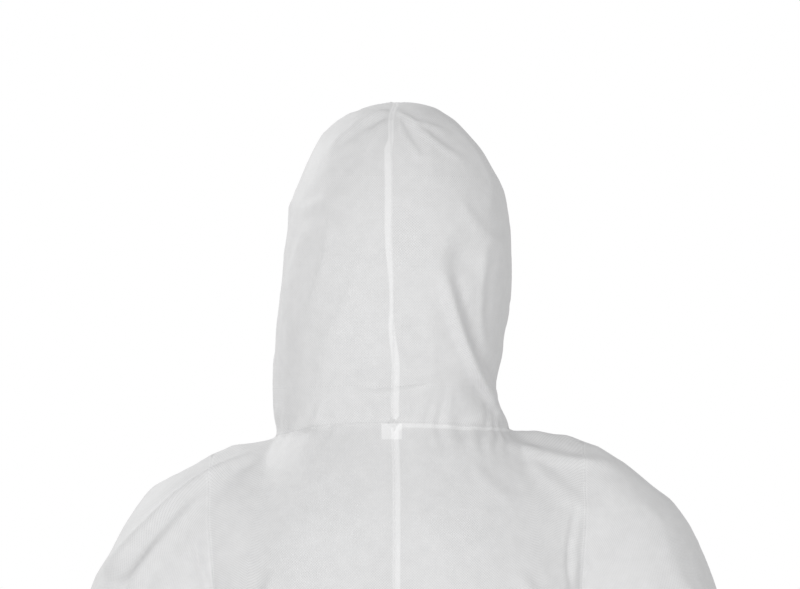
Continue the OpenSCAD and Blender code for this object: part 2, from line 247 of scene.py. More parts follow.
def section(z, u, side):
    """A level ring of the body, u 0 at the centre and 1 at the side seam."""
    x = half_width(z) * sin_deg(90 * u)
    if side > 0:
        return stack(x, back_y(z) * cos_deg(90 * u), z)
    return stack(np.maximum(x, front_edge_x(z)), line_y(z) * cos_deg(90 * u), z)


def top_edge(u, side):
    start = 180.0 if side > 0 else float(face_angle(np.array(0.0)))
    on_neck = neck(mix(start, SHOULDER_SEAM_ANGLE, np.clip(u / NECK_SHARE, 0, 1)))
    w = np.clip((u - NECK_SHARE) / (1 - NECK_SHARE), 0, 1)[..., None]
    tip = np.array([ARMHOLE_X, 0, SHOULDER_Z])
    on_shoulder = mix(neck(np.array(SHOULDER_SEAM_ANGLE)), tip, w) + np.sin(np.pi * w) * [0, 0, 4]
    return np.where(u[..., None] <= NECK_SHARE, on_neck, on_shoulder)


def arm_edge(v, side):
    a = np.pi * v
    return stack(ARMHOLE_X, side * ARMHOLE_Y * np.sin(a),
                 (SHOULDER_Z + ARMPIT_Z) / 2 + (SHOULDER_Z - ARMPIT_Z) / 2 * np.cos(a))


def mid_edge(v, side):
    z = mix(NAPE_RISE if side > 0 else FRONT_DROP, ARMPIT_Z, v)
    return stack(0, back_y(z), z) if side > 0 else stack(SLOT, line_y(z), z)


def upper_patch(u, v, side):
    """The panel above the armpit, spanned between its four edges."""
    one = np.array([1.0])
    top, low = top_edge(u, side), section(np.array(ARMPIT_Z), u, side)
    round_top = settle(top.copy(), 260)
    mid, arm = mid_edge(v, side), arm_edge(v, side)
    mid = mid + (top[0] - mid[0]) * (1 - v)[:, None]
    u, v = u[None, :, None], v[:, None, None]
    corners = mix(mix(top_edge(0 * one, side), top_edge(one, side), u),
                  mix(low[:1], low[-1:], u), v)
    top = mix(top[None], round_top[None], ease(v / 0.3))
    return mix(top, low[None], v) + mix(mid[:, None], arm[:, None], u) - corners


ARM_AXIS = np.array([0.5, 0, -math.sqrt(0.75)])
ARM_UP = np.array([math.sqrt(0.75), 0, 0.5])
ARM_START = np.array([ARMHOLE_X + SLEEVE_OUT, 0, ARMPIT_Z - SLEEVE_DROP]) + SLEEVE_HALF_HIGH * ARM_UP
CUFF_S = UPPER_LEN + LOWER_LEN
arm_high = curve([(0, SLEEVE_HALF_HIGH), (UPPER_LEN, 64), (UPPER_LEN + 75, 59), (UPPER_LEN + 155, 52),
                  (UPPER_LEN + 200, 45), (CUFF_S, CUFF_R + BAND)])
arm_deep = curve([(0, SLEEVE_HALF_DEEP), (UPPER_LEN, 62), (UPPER_LEN + 75, 57), (UPPER_LEN + 155, 50),
                  (UPPER_LEN + 200, 44), (CUFF_S, CUFF_R + BAND)])
RING = np.linspace(0, 2 * np.pi, 2 * ARMHOLE_CELLS + 1)


def arm_ring(centre, up, high, deep):
    return (centre + high * np.cos(RING)[:, None] * up
            + deep * np.sin(RING)[:, None] * np.array([0, 1.0, 0]))


def head_ring(angle):
    """A ring of the sleeve head, turned from the upright armhole towards the arm's own line."""
    w = angle / SLEEVE_TURN
    full = 2 * SLEEVE_HALF_HIGH
    height = (SHOULDER_Z - ARMPIT_Z - full) * (1 - w) ** 1.3 + full
    up = np.array([math.sin(math.radians(angle)), 0, math.cos(math.radians(angle))])
    low = np.array([ARMHOLE_X + SLEEVE_OUT * w, 0, ARMPIT_Z - SLEEVE_DROP * w])
    return arm_ring(low + up * height / 2, up, height / 2, mix(ARMHOLE_Y, SLEEVE_HALF_DEEP, w))


def tube_ring(s):
    return arm_ring(ARM_START + ARM_AXIS * s, ARM_UP, float(arm_high(s)), float(arm_deep(s)))


leg_x = curve([(ANKLE_Z, 140), (-1200, 130), (-955, 116), (-820, 106), (HIP_Z, 103)])
leg_wide = curve([(ANKLE_Z, ANKLE_R + BAND), (-1385, 61), (-1330, 68), (-1200, 76), (-955, 84), (-820, 92),
                  (HIP_Z, 95)])
leg_deep = curve([(ANKLE_Z, ANKLE_R + BAND), (-1385, 62), (-1330, 70), (-1200, 80), (-955, 88), (-820, 104),
                  (HIP_Z, 122)])
INNER_ANGLE = 120
SEAT_SAG = 13
leg_y = curve([(ANKLE_Z, 4), (-1200, 2), (-955, -4), (-820, -12), (HIP_Z, -16)])


def leg_oval(z, side, angle):
    """Points round a leg at height z; 0 is the outer side and 180 the inner one."""
    a = np.radians(angle)
    return np.stack([leg_x(z) + leg_wide(z) * np.cos(a), leg_y(z) + side * leg_deep(z) * np.sin(a)], -1)


def leg_row(z, side):
    """Half a leg ring: the inner stretch, then round to the side seam.

    At the hip it has the outline of the seat.
    """
    w = ease((HIP_Z - z) / 130)
    u = COLUMNS[1:]
    depth = float(back_y(HIP_Z) if side > 0 else -line_y(HIP_Z))
    arc = np.stack([half_width(HIP_Z) * sin_deg(90 * u), side * depth * cos_deg(90 * u)], -1)
    inner_share = np.linspace(0, 1, INNER_CELLS + 1)
    inner = np.stack([np.full(INNER_CELLS + 1, INNER_X), arc[0, 1] * (1 - inner_share)], -1)
    sag = np.sin(np.pi * np.clip((inner[:, 1] - line_y(HIP_Z)) / (back_y(HIP_Z) - line_y(HIP_Z)), 0, 1))
    drop = -SEAT_SAG * sag * (1 - ease((HIP_Z - z) / 60))
    arc = mix(arc, leg_oval(z, side, INNER_ANGLE * (1 - (u - u[0]) / (1 - u[0]))), w)
    inner = mix(inner, leg_oval(z, side, INNER_ANGLE + (180 - INNER_ANGLE) * inner_share), w)
    return np.concatenate([
        np.concatenate([inner[::-1], (z + drop)[::-1, None]], 1),
        np.concatenate([arc[1:], np.full((len(arc) - 1, 1), z)], 1)])


# ---------------------------------------------------------------- cloth grids
def cell_corners(index):
    """The four corners of every cell of a grid of point numbers."""
    return np.stack([index[:-1, :-1], index[:-1, 1:], index[1:, 1:], index[1:, :-1]], -1).reshape(-1, 4)


class Cloth:
    """One cloth panel: a grid of points in mm, the body names and bend ends it is given, which are not used,
    and the CAD nodes it stands for.

    A turned panel has its columns running the other way, and its pattern starts at its last column.
    """

    def __init__(self, name, grid, nodes, bodies, start, end, mirrored=False, turned=False):
        self.name, self.nodes, self.bodies = name, nodes, bodies
        self.start, self.end = np.array(start, float), np.array(end, float)
        if mirrored:
            grid = grid * [-1, 1, 1]
            self.start, self.end = self.start * [-1, 1, 1], self.end * [-1, 1, 1]
        self.grid = grid
        rows, cols = grid.shape[:2]
        across = np.linalg.norm(np.diff(grid, axis=1), axis=2)
        down = np.linalg.norm(np.diff(grid, axis=0), axis=2)
        u = np.concatenate([np.zeros((rows, 1)), np.cumsum(across, 1)], 1)
        v = np.concatenate([np.zeros((1, cols)), np.cumsum(down, 0)], 0)
        if turned:
            u = u - u[:, -1:]
            v = np.repeat(v[:, -1:], cols, axis=1)
        self.uv = np.stack([u, v], -1).reshape(-1, 2)
        self.flat = (float(across.sum(1).max()), float(down.sum(0).max()))
        index = np.arange(rows * cols).reshape(rows, cols)
        quads = cell_corners(index)
        self.quads = quads[:, ::-1] if mirrored != turned else quads


cloths = []


def add_pair(name, grid, nodes, bodies, start, end, **more):
    """The wearer's left piece and its mirror image on the right."""
    for side, mirrored in (("left", False), ("right", True)):
        cloths.append(Cloth(name.replace("SIDE", side), grid, [n.replace("SIDE", side) for n in nodes],
                            [b.replace("SIDE", side) for b in bodies], start, end, mirrored, **more))


# where each joint's bend starts and ends (mm)
SHOULDER_BEND = ((162, 0, 0), (232, 0, 0))
ELBOW_BEND = (tuple(ARM_START + ARM_AXIS * 100), tuple(ARM_START + ARM_AXIS * 232))
HIP_BEND = ((0, 0, -715), (96.3, 0, -852.6))
KNEE_BEND = ((0, 0, -905), (0, 0, -1040))
HOOD_BEND = ((0, 0, 36), (0, 0, 225))

# the rows of the hood crowd a little towards the ends of the face opening, whose edge is steepest there
face_phi = np.append(np.linspace(0, np.pi, 65)[2:-2], np.pi)
face_rows = FACE_MID - FACE_REACH * np.cos(face_phi)
crown_from = math.asin((FACE_HIGH - DOME_START) / (HOOD_TOP - DOME_START))
crown_rows = DOME_START + (HOOD_TOP - DOME_START) * np.sin(np.linspace(crown_from, np.pi / 2, 36)[1:])
hood_rows = np.concatenate([np.linspace(0, FACE_LOW, 14), face_rows, crown_rows])
hood_levels = hood_rows[::-1]


def hood_grid():
    share = NECK_COLUMNS / NECK_SHARE
    rows = []
    for z in hood_rows:
        front = mix(float(face_angle(np.array(z))), SHOULDER_SEAM_ANGLE, share)
        back = mix(180.0, SHOULDER_SEAM_ANGLE, share)[::-1]
        rows.append(hood_point(np.array(z), np.concatenate([front, back[1:]])))
    return np.array(rows)


add_pair("hood_SIDE", hood_grid()[::-1], ["hood_SIDE_panel"], ["torso", "hood"], *HOOD_BEND, turned=True)

armhole_v = np.linspace(0, 1, ARMHOLE_CELLS + 1)
chest_rows = np.linspace(ARMPIT_Z, WAIST_Z, 46)[1:]
seat_rows = np.linspace(WAIST_Z, HIP_Z, 56)
leg_rows = np.linspace(HIP_Z, SPLIT_Z, 44)
shin_rows = np.linspace(SPLIT_Z, ANKLE_Z, 104)


def chest_grid(side):
    low = [section(np.array(z), COLUMNS, side) for z in chest_rows]
    return np.concatenate([upper_patch(COLUMNS, armhole_v, side), np.array(low)])


def seat_grid(side):
    return np.array([section(np.array(z), COLUMNS, side) for z in seat_rows])


def leg_grid(rows, side):
    return np.array([leg_row(z, side) for z in rows])


def facing(grid, side):
    """Rows run down and columns run outwards on the back; the front needs its columns turned round."""
    return grid if side > 0 else grid[:, ::-1]


for part, side in (("back", 1), ("front", -1)):
    add_pair(part + "_SIDE_chest", facing(chest_grid(side), side), [f"{part}_SIDE_panel"],
             ["torso", "SIDE_upper_arm"], *SHOULDER_BEND)
    add_pair(part + "_SIDE_seat", facing(seat_grid(side), side), [], ["torso", "SIDE_thigh"], *HIP_BEND)
    add_pair("SIDE_thigh_" + part, facing(leg_grid(leg_rows, side), side), [f"SIDE_thigh_{part}"],
             ["torso", "SIDE_thigh"], *HIP_BEND)
    add_pair("SIDE_shin_" + part, facing(leg_grid(shin_rows, side), side), [f"SIDE_shin_{part}"],
             ["SIDE_thigh", "SIDE_shin"], *KNEE_BEND)

sleeve_top = np.array([head_ring(a) for a in np.linspace(0, SLEEVE_TURN, 41)]
                      + [tube_ring(s) for s in np.arange(5, SLEEVE_SPLIT + 1, 5)])
sleeve_low = np.array([tube_ring(s) for s in np.linspace(SLEEVE_SPLIT, CUFF_S, 76)])
add_pair("SIDE_sleeve_head", sleeve_top, ["SIDE_upper_sleeve"], ["torso", "SIDE_upper_arm"], *SHOULDER_BEND,
         turned=True)
add_pair("SIDE_sleeve", sleeve_low, ["SIDE_lower_sleeve"], ["SIDE_upper_arm", "SIDE_forearm"], *ELBOW_BEND,
         turned=True)

# ---------------------------------------------------------------- one welded cloth, so that seams stay shut
points = np.concatenate([c.grid.reshape(-1, 3) for c in cloths])
offsets = np.cumsum([0] + [c.grid.shape[0] * c.grid.shape[1] for c in cloths])
WELD_STEP = 0.02
WELD_SHIFT = 0.31
_, first, weld = np.unique(np.round(points / WELD_STEP + WELD_SHIFT).astype(np.int64), axis=0,
                           return_index=True, return_inverse=True)
weld = weld.ravel()
base = points[first]
quads = np.concatenate([weld[c.quads + o] for c, o in zip(cloths, offsets)])


def welded_index(cloth, start):
    """The welded point under each point of a panel's grid."""
    rows, cols = cloth.grid.shape[:2]
    return weld[start + np.arange(rows * cols)].reshape(rows, cols)


def vertex_normals(p):
    d1, d2 = p[quads[:, 2]] - p[quads[:, 0]], p[quads[:, 3]] - p[quads[:, 1]]
    n = np.cross(d1, d2)
    total = np.zeros_like(p)
    for k in range(4):
        np.add.at(total, quads[:, k], n)
    return total / np.maximum(np.linalg.norm(total, axis=1, keepdims=True), 1e-9)


edges = np.concatenate([quads[:, [0, 1]], quads[:, [1, 2]], quads[:, [2, 3]], quads[:, [3, 0]]])
edges = edges[edges[:, 0] != edges[:, 1]]
unique_edges, uses = np.unique(np.sort(edges, axis=1), axis=0, return_counts=True)
rim = np.zeros(len(base), bool)
rim[unique_edges[uses == 1].ravel()] = True


def smooth(p, times, strength=0.5):
    """Moves each point towards the middle of its neighbours; the open rims stay."""
    count = np.zeros(len(p))
    np.add.at(count, unique_edges[:, 0], 1)
    np.add.at(count, unique_edges[:, 1], 1)
    for _ in range(times):
        total = np.zeros_like(p)
        np.add.at(total, unique_edges[:, 0], p[unique_edges[:, 1]])
        np.add.at(total, unique_edges[:, 1], p[unique_edges[:, 0]])
        moved = p + strength * (total / np.maximum(count, 1)[:, None] - p)
        p = np.where(rim[:, None], p, moved)
    return p


base = smooth(base, 4)


# ---------------------------------------------------------------- how the worn suit leans and folds (mm)
hood_lean = curve([(-60, 0), (0, 1.4), (27, 5), (85, 5), (150, 0), (230, -3), (HOOD_TOP, -1)])
seam_drift = curve([(0, 0), (28, -3), (85, -4), (142, 0.5), (200, 5), (255, 5.5), (300, 5), (HOOD_TOP, 0)])


def posture(p):
    """The suit isn't quite the same on both sides: the hood leans and one shoulder is lower."""
    x, y, z = p.T
    out = np.abs(x)
    by_zip = ease((-y - 40) / 55) * (1 - ease((z - 40) / 45))
    dx = hood_lean(z) * ease((z + 60) / 60) * (1 - by_zip)
    dx = dx + seam_drift(z) * bump(x, 48) * ease(y / 60) * (z > 0)
    dx = dx + 9 * bump(z - 38, 24) * ease((-x - 55) / 45)
    upper = ease((z + 330) / 150) * (1 - ease((z - 5) / 40))
    on_arm = ease((out - 150) / 60) * upper
    dx = dx - 8 * on_arm - 9 * np.sign(x) * ease((-z - 75) / 70) * on_arm
    dx = dx + 5 * bump(z + 62, 25) * (x > 0) * on_arm
    dz = np.where(x > 0, -7, 4) * ease((out - 60) / 70) * upper
    dz = dz + np.where(x > 0, 4, 5) * bump(out - 225, 42) * upper
    dz = dz - np.where(x > 0, 1.5, 1) * bump(out - 145, 28) * upper
    return p + np.stack([dx, 0 * y, dz], -1)


# the two axes a side is drawn on, the axis that points at it, and that axis's sign
VIEWS = {"back": (0, 2, 1, 1), "front": (0, 2, 1, -1), "left": (1, 2, 0, 1), "right": (1, 2, 0, -1)}


def facing_view(normals, view):
    _, _, axis, sign = VIEWS[view]
    return ease(sign * normals[:, axis] / 0.6 + 0.35)


def fold(p, normals, view, a, b, width, height):
    """A crease from a to b as seen in a view: a sharp flank on one side, a shallow valley on the other."""
    i, j, _, _ = VIEWS[view]
    q = p[:, [i, j]] - a
    line = np.subtract(b, a)
    length = math.hypot(*line)
    along = (q @ line) / length ** 2
    off = (q[:, 0] * line[1] - q[:, 1] * line[0]) / length + 0.06 * length * np.sin(np.pi * along)
    crest = np.where(off > 0, bump(off, width), bump(off, 0.5 * width)) - 0.4 * bump(off - 1.7 * width, width)
    ends = ease(along / 0.22 + 0.1) * ease((1 - along) / 0.35 + 0.1)
    return height * crest * ends * facing_view(normals, view)


# folds that show from behind: (from, to, width, height), all x and z
HOOD_FOLDS = [
    ((-44, 154), (-112, 0), 7, 8), ((-88, 182), (-88, 62), 5, 1.6), ((84, 196), (104, 92), 7, 1.5),
    ((34, 37), (-38, 47), 3, -1.7), ((-20, 120), (-70, 60), 10, 1.5), ((30, 150), (76, 20), 14, 1.8),
    ((4, 304), (46, 286), 3.5, 2.8), ((0, 300), (-52, 282), 3.5, 3), ((6, 298), (30, 256), 4, 2.0),
    ((-2, 297), (-26, 252), 3.5, 2.3), ((8, 303), (66, 262), 4, 2.2), ((-4, 302), (-70, 252), 4, 2.1),
    ((-60, 215), (-104, 170), 6, 1.6), ((40, 220), (98, 205), 7, 1.2),
]
BODY_FOLDS = [
    ((150, -26), (292, -156), 8, 7), ((168, -48), (262, -172), 7, 5), ((120, -14), (232, -84), 5, 3),
    ((-100, -8), (-218, -30), 6, 5), ((-120, -18), (-200, -80), 8, 2), ((-70, -26), (-120, -70), 8, 1.5),
    ((188, -90), (168, -158), 5, -3), ((-172, -60), (-164, -156), 4, -2.2),
]
rng = np.random.default_rng(11)


def radiating(view, centre, angles, count, reach, width, height):
    """Folds that spread from a point where the cloth is pulled or bunched."""
    made = []
    for k in range(count):
        a = math.radians(mix(angles[0], angles[1], (k + rng.uniform(0.2, 0.8)) / count))
        far = rng.uniform(0.6, 1.0) * reach
        near = rng.uniform(0.05, 0.2) * reach
        d = np.array([math.cos(a), math.sin(a)])
        made.append((view, np.add(centre, d * near), np.add(centre, d * far),
                     width * rng.uniform(0.7, 1.3), height * rng.uniform(0.5, 1.2)))
    return made


# places where folds spread from: (side, place on it, angles, number, reach, width, height).
# The places are those of the wearer's left; "side" is that side itself.
SPREADS = [
    ("back", (168, -226), (115, 215), 6, 150, 9, 4.5), ("front", (168, -226), (110, 220), 7, 165, 9, 6),
    ("back", (40, -706), (20, 110), 5, 170, 11, 6), ("front", (30, -704), (-60, 80), 8, 170, 10, 7),
    ("back", (60, -712), (-80, -10), 4, 150, 9, 5.5), ("back", (150, -470), (150, 250), 5, 130, 10, 5),
    ("front", (150, -450), (130, 250), 6, 130, 10, 5), ("front", (95, -8), (200, 300), 5, 120, 9, 4),
    ("back", (116, -940), (150, 390), 8, 110, 8, 6), ("front", (66, -960), (-50, 60), 6, 110, 9, 5),
    ("front", (171, -930), (120, 240), 5, 100, 9, 5), ("side", (0, -470), (200, 340), 6, 150, 10, 3),
    ("side", (40, -955), (150, 250), 5, 110, 8, 3), ("side", (10, -730), (200, 340), 6, 150, 10, 2.6),
]
WIDE_SPREAD = 200


def fold_list():
    """Every fold; a wide spread goes nearly all the way round and isn't mirrored on the right."""
    made = [("back", *f) for f in HOOD_FOLDS + BODY_FOLDS]
    for mirror, side in ((1, "left"), (-1, "right")):
        for view, (across, level), (low, high), *rest in SPREADS:
            if view == "side":
                made += radiating(side, (across, level), (low, high), *rest)
                continue
            if mirror < 0 and high - low < WIDE_SPREAD:
                low, high = 180 - high, 180 - low
            made += radiating(view, (across * mirror, level), (low, high), *rest)
    return made


def crease_noise(p, scale, seed, stretch=(1, 1, 1)):
    """Sharp crests between soft hollows, from 0 to 1, as in thin stiff cloth."""
    q = p * stretch
    bent = q + 0.35 * scale * np.stack([soft_noise(q, 1.6 * scale, seed + k) for k in (1, 2, 3)], -1)
    return np.clip(1 - 2.6 * np.abs(soft_noise(bent, scale, seed)), 0, 1) ** 2


def limb_frame(p):
    """Distance down a sleeve from its head, the angle round it, and how surely a point is on a sleeve."""
    mirror = p * np.stack([np.sign(p[:, 0]) + (p[:, 0] == 0), 1 + 0 * p[:, 0], 1 + 0 * p[:, 0]], -1)
    rel = mirror - ARM_START
    s = rel @ ARM_AXIS
    angle = np.arctan2(rel[:, 1], rel @ ARM_UP)
    out, z = mirror[:, 0], mirror[:, 2]
    on_sleeve = (out > ARMHOLE_X + 1) & (z > -620) & ((s > -60) | (z > ARMPIT_Z))
    return s, angle, on_sleeve & (out > ARMHOLE_X + 1 + np.clip(-200 - z, 0, 60) * 0.5)


def rings(along, angle, pitch, tilt, seed, p):
    """Slouch folds across a limb: crests that wander and fade as they go round."""
    phase = along / pitch + tilt * np.sin(angle + seed) + 0.9 * soft_noise(p, 60, seed)
    crest = (0.5 + 0.5 * np.cos(2 * np.pi * phase)) ** 1.6
    return crest * np.clip(0.5 + 1.4 * soft_noise(p, 50, seed + 9), 0, 1)


CUFF_RIPPLES = 22
ANKLE_RIPPLES = 26
CUFF_GATHER = 2.4
ANKLE_GATHER = 2.8


def ripple(angle, count, seed):
    return np.cos(count * angle + 1.3 * np.sin(3 * angle + seed) + 0.8 * np.sin(7 * angle + 2 * seed))


def region(value, low, high, soft):
    return ease((value - low) / soft + 1) * ease((high - value) / soft + 1)


def wrinkles(p, normals):
    """Height of the cloth above the smooth shape, in mm."""
    x, y, z = p.T
    h = -2.2 + 3.0 * soft_noise(p, 105, 3.1) + 0.7 * soft_noise(p, 42, 8.7)
    for view, a, b, width, height in fold_list():
        h = h + fold(p, normals, view, a, b, width, height)
    smooth_back = ease((z + 190) / 60) * facing_view(normals, "back")
    busy = mix(1.0, 0.35, smooth_back)
    h = h + busy * 4.2 * crease_noise(p, 74, 21.0, (1, 1, 0.7)) + busy * 0.9 * crease_noise(p, 34, 5.0)
    h = h - 7 * bump(x + 66, 15) * bump(z - 162, 17) * facing_view(normals, "back")
    # gathers above and below the neck seam
    near_neck = bump(z - neck_z(np.degrees(np.arctan2(np.abs(x), NECK_Y - y))), 20) * (np.abs(x) < 125)
    pucker = np.cos(2 * np.pi * (x / 15 + 1.2 * soft_noise(p, 40, 2.0)))
    h = h + near_neck * pucker * mix(0.7, 1.5, bump(x + 55, 45)) * facing_view(normals, "back")
    # waist elastic
    around = np.where(y > 0, x, 320 * np.sign(x + 1e-6) - x)
    waist = np.cos(2 * np.pi * (around / 19 + 1.1 * soft_noise(p, 45, 4.0)))
    torso = (z > HIP_Z) & (np.abs(x) < 205) & ~limb_frame(p)[2]
    h = h + torso * (2.4 * waist * bump(z - WAIST_Z, 34) - 3.0 * bump(z - WAIST_Z, 9))
    h = h + torso * 4.5 * bump(z - WAIST_Z - 26, 17) * (0.6 + 0.8 * soft_noise(p, 55, 6.0))
    h = h + torso * 4.0 * bump(z - WAIST_Z + 28, 18) * (0.5 + 0.8 * soft_noise(p, 50, 7.0))
    # sleeves
    s, angle, sleeve = limb_frame(p)
    h = h + sleeve * 3.8 * rings(s, angle, 44, 0.8, 1.7, p) * bump(s - UPPER_LEN, 62)
    h = h + sleeve * 3.0 * rings(s, angle, 31, 0.5, 4.1, p) * bump(s - 330, 50)
    h = h + sleeve * 2.2 * rings(s, angle, 48, 0.8, 6.1, p) * region(s, -40, 110, 60)
    # legs
    leg = z < HIP_Z
    turn = np.arctan2(y - leg_y(z), np.abs(x) - leg_x(z))
    h = h + leg * 3.2 * rings(z, turn, 52, 0.9, 2.7, p) * bump(z + 985, 75)
    h = h + leg * 4.2 * rings(z, turn, 39, 0.9, 3.9, p) * bump(z + 1325, 62)
    h = h + leg * 2.0 * rings(z, turn, 64, 0.8, 5.9, p) * region(z, -1280, -760, 80)
    # the hems keep their round, and the cloth gathers towards them
    h = h * (1 - sleeve * ease((s - CUFF_S + 26) / 24)) * (1 - leg * ease((ANKLE_Z + 26 - z) / 24))
    h = h + sleeve * CUFF_GATHER * ripple(angle, CUFF_RIPPLES, 1.0) * ease((s - CUFF_S + 52) / 48) ** 1.5
    h = h + leg * ANKLE_GATHER * ripple(turn, ANKLE_RIPPLES, 2.0) * ease((ANKLE_Z + 59 - z) / 55) ** 1.5
    # face opening
    edge = np.abs(np.hypot(x / FACE_HALF, (z - FACE_MID) / FACE_REACH) - 1) * 80
    hood_front = (z > 34) & (y < 20)
    arc = np.arctan2(z - FACE_MID, x)
    h = h + hood_front * 1.9 * ripple(arc, 24, 0.5) * bump(edge, 20)
    return h


base = posture(base)
normals = vertex_normals(base)
zip_hold = 1 - bump(np.abs(base[:, 0]) - SLOT, 11) * ease((-base[:, 1] - 85) / 15) * (base[:, 2] < 45)
final = base + normals * (wrinkles(base, normals) * mix(0.12, 1, zip_hold))[:, None]
final = smooth(final, 1, 0.35)
final_normals = vertex_normals(final)


# ---------------------------------------------------------------- seams (mm)
def seam_lines():
    """The kind of every sewn line, and its welded points in order."""
    lines = []
    for cloth, start in zip(cloths, offsets):
        index = welded_index(cloth, start)
        z = cloth.grid[:, :, 2]
        kind = cloth.name
        if kind.startswith("hood"):
            lines.append(("hood_back", index[:, -1]))
            lines.append(("neck", index[-1]))
            lines.append(("hood_front", index[hood_levels > FACE_HIGH - 1, 0]))
        elif kind.endswith("chest"):
            centre, side = (0, -1) if kind.startswith("back") else (-1, 0)
            if kind.startswith("back"):
                lines.append(("centre_back", index[:, centre]))
            top = index[0] if centre == 0 else index[0, ::-1]
            lines.append(("shoulder", top[NECK_CELLS:]))
            lines.append(("armhole", index[:ARMHOLE_CELLS + 1, side]))
            lines.append(("side", index[ARMHOLE_CELLS:, side]))
        elif kind.endswith("seat"):
            centre, side = (0, -1) if kind.startswith("back") else (-1, 0)
            low = slice(None) if kind.startswith("back") else z[:, centre] < ZIP_END
            lines.append(("centre_back" if kind.startswith("back") else "front_rise", index[low, centre]))
            lines.append(("side", index[:, side]))
        elif "thigh" in kind or "shin" in kind:
            lines += [("leg", index[:, 0]), ("leg", index[:, -1])]
        else:
            lines.append(("underarm", index[:, ARMHOLE_CELLS]))
    return lines


class SeamMap:
    """Nearest sewn line to any point: how far it is and how far along it."""

    def __init__(self, p):
        self.spots, self.along, self.kinds = [], [], []
        for kind, line in seam_lines():
            q = p[line]
            step = np.concatenate([[0], np.cumsum(np.linalg.norm(np.diff(q, axis=0), axis=1))])
            at = np.arange(0, step[-1], 1.2)
            self.spots.append(np.stack([np.interp(at, step, q[:, k]) for k in range(3)], -1))
            self.along.append(at)
            self.kinds += [kind] * len(at)
        self.spots, self.along = np.concatenate(self.spots), np.concatenate(self.along)
        self.kinds = np.array(self.kinds)
        self.tree = kdtree.KDTree(len(self.spots))
        for k, spot in enumerate(self.spots.tolist()):
            self.tree.insert(spot, k)
        self.tree.balance()

    def at(self, q):
        found = [self.tree.find(v) for v in q.tolist()]
        nearest = np.array([f[1] for f in found])
        return np.array([f[2] for f in found]), self.along[nearest], self.kinds[nearest]


seam_map = SeamMap(final)
seam_far, seam_along, seam_kind = seam_map.at(final)


# ---------------------------------------------------------------- materials
class Shader:
    """Short calls for building a node tree round one Principled shader."""

    def __init__(self, name, colour, roughness, **more):
        self.material = bpy.data.materials.new(name)
        self.material.use_nodes = True
        self.nodes, self.links = self.material.node_tree.nodes, self.material.node_tree.links
        self.main = self.nodes["Principled BSDF"]
        self.set("Base Color", (*colour, 1))
        self.set("Roughness", roughness)
        for socket, value in more.items():
            self.set(socket.replace("_", " "), value)

    def set(self, socket, value):
        if isinstance(value, bpy.types.NodeSocket):
            self.links.new(value, self.main.inputs[socket])
        else:
            self.main.inputs[socket].default_value = value

    def add(self, kind, *inputs, out=0, **settings):
        node = self.nodes.new("ShaderNode" + kind)
        for key, value in settings.items():
            setattr(node, key, value)
        for k, value in enumerate(inputs):
            if isinstance(value, bpy.types.NodeSocket):
                self.links.new(value, node.inputs[k])
            elif value is not None:
                node.inputs[k].default_value = value
        return node.outputs[out]

    def math(self, operation, *inputs):
        return self.add("Math", *inputs, operation=operation)

    def plus(self, a, b):
        return self.math("ADD", a, b)

    def minus(self, a, b):
        return self.math("SUBTRACT", a, b)

    def times(self, a, b):
        return self.math("MULTIPLY", a, b)

    def scaled(self, value, amount, start):
        return self.plus(self.times(value, amount), start)

    def wave(self, value, pitch):
        return self.math("SINE", self.times(value, 2 * math.pi / pitch))

    def number(self, name):
        return self.add("Attribute", attribute_name=name, out=2)

    def place(self, name):
        return self.add("Attribute", attribute_name=name, out=1)

    def noise(self, place, scale, detail=2.0):
        return self.add("TexNoise", place, None, scale, detail)

    def below(self, value, edge, soft):
        """1 where value is under edge, fading to 0 over soft."""
        return self.add("MapRange", value, edge - soft / 2, edge + soft / 2, 1.0, 0.0)

    def blend(self, amount, low, high):
        return self.add("Mix", amount, None, None, None, None, None, low, high, data_type="RGBA", out=2)

    def paint(self, tone, blue=1.0):
        """A grey base colour; blue is the share of the tone that the blue channel gets."""
        third = tone if blue == 1.0 else self.times(tone, blue)
        self.set("Base Color", self.add("CombineColor", tone, tone, third))

    def bumps(self, height, strength, distance):
        """A raised surface; height is in units of distance (m)."""
        node = self.nodes.new("ShaderNodeBump")
        node.inputs["Strength"].default_value = strength
        node.inputs["Distance"].default_value = distance
        self.links.new(height, node.inputs["Height"])
        self.links.new(node.outputs[0], self.main.inputs["Normal"])


def grey(v, warm=0.0):
    return (v * (1 + warm), v, v * (1 - warm), 1)


# sizes of the cloth's pattern and of the label that shows through it, in metres; the stitches are in mm
DOT_PITCH = 0.0025
STITCH_PITCH = 3.6
LABEL_PLACE, LABEL_HALF = (0.0028, 0.0016), (0.0095, 0.0073)


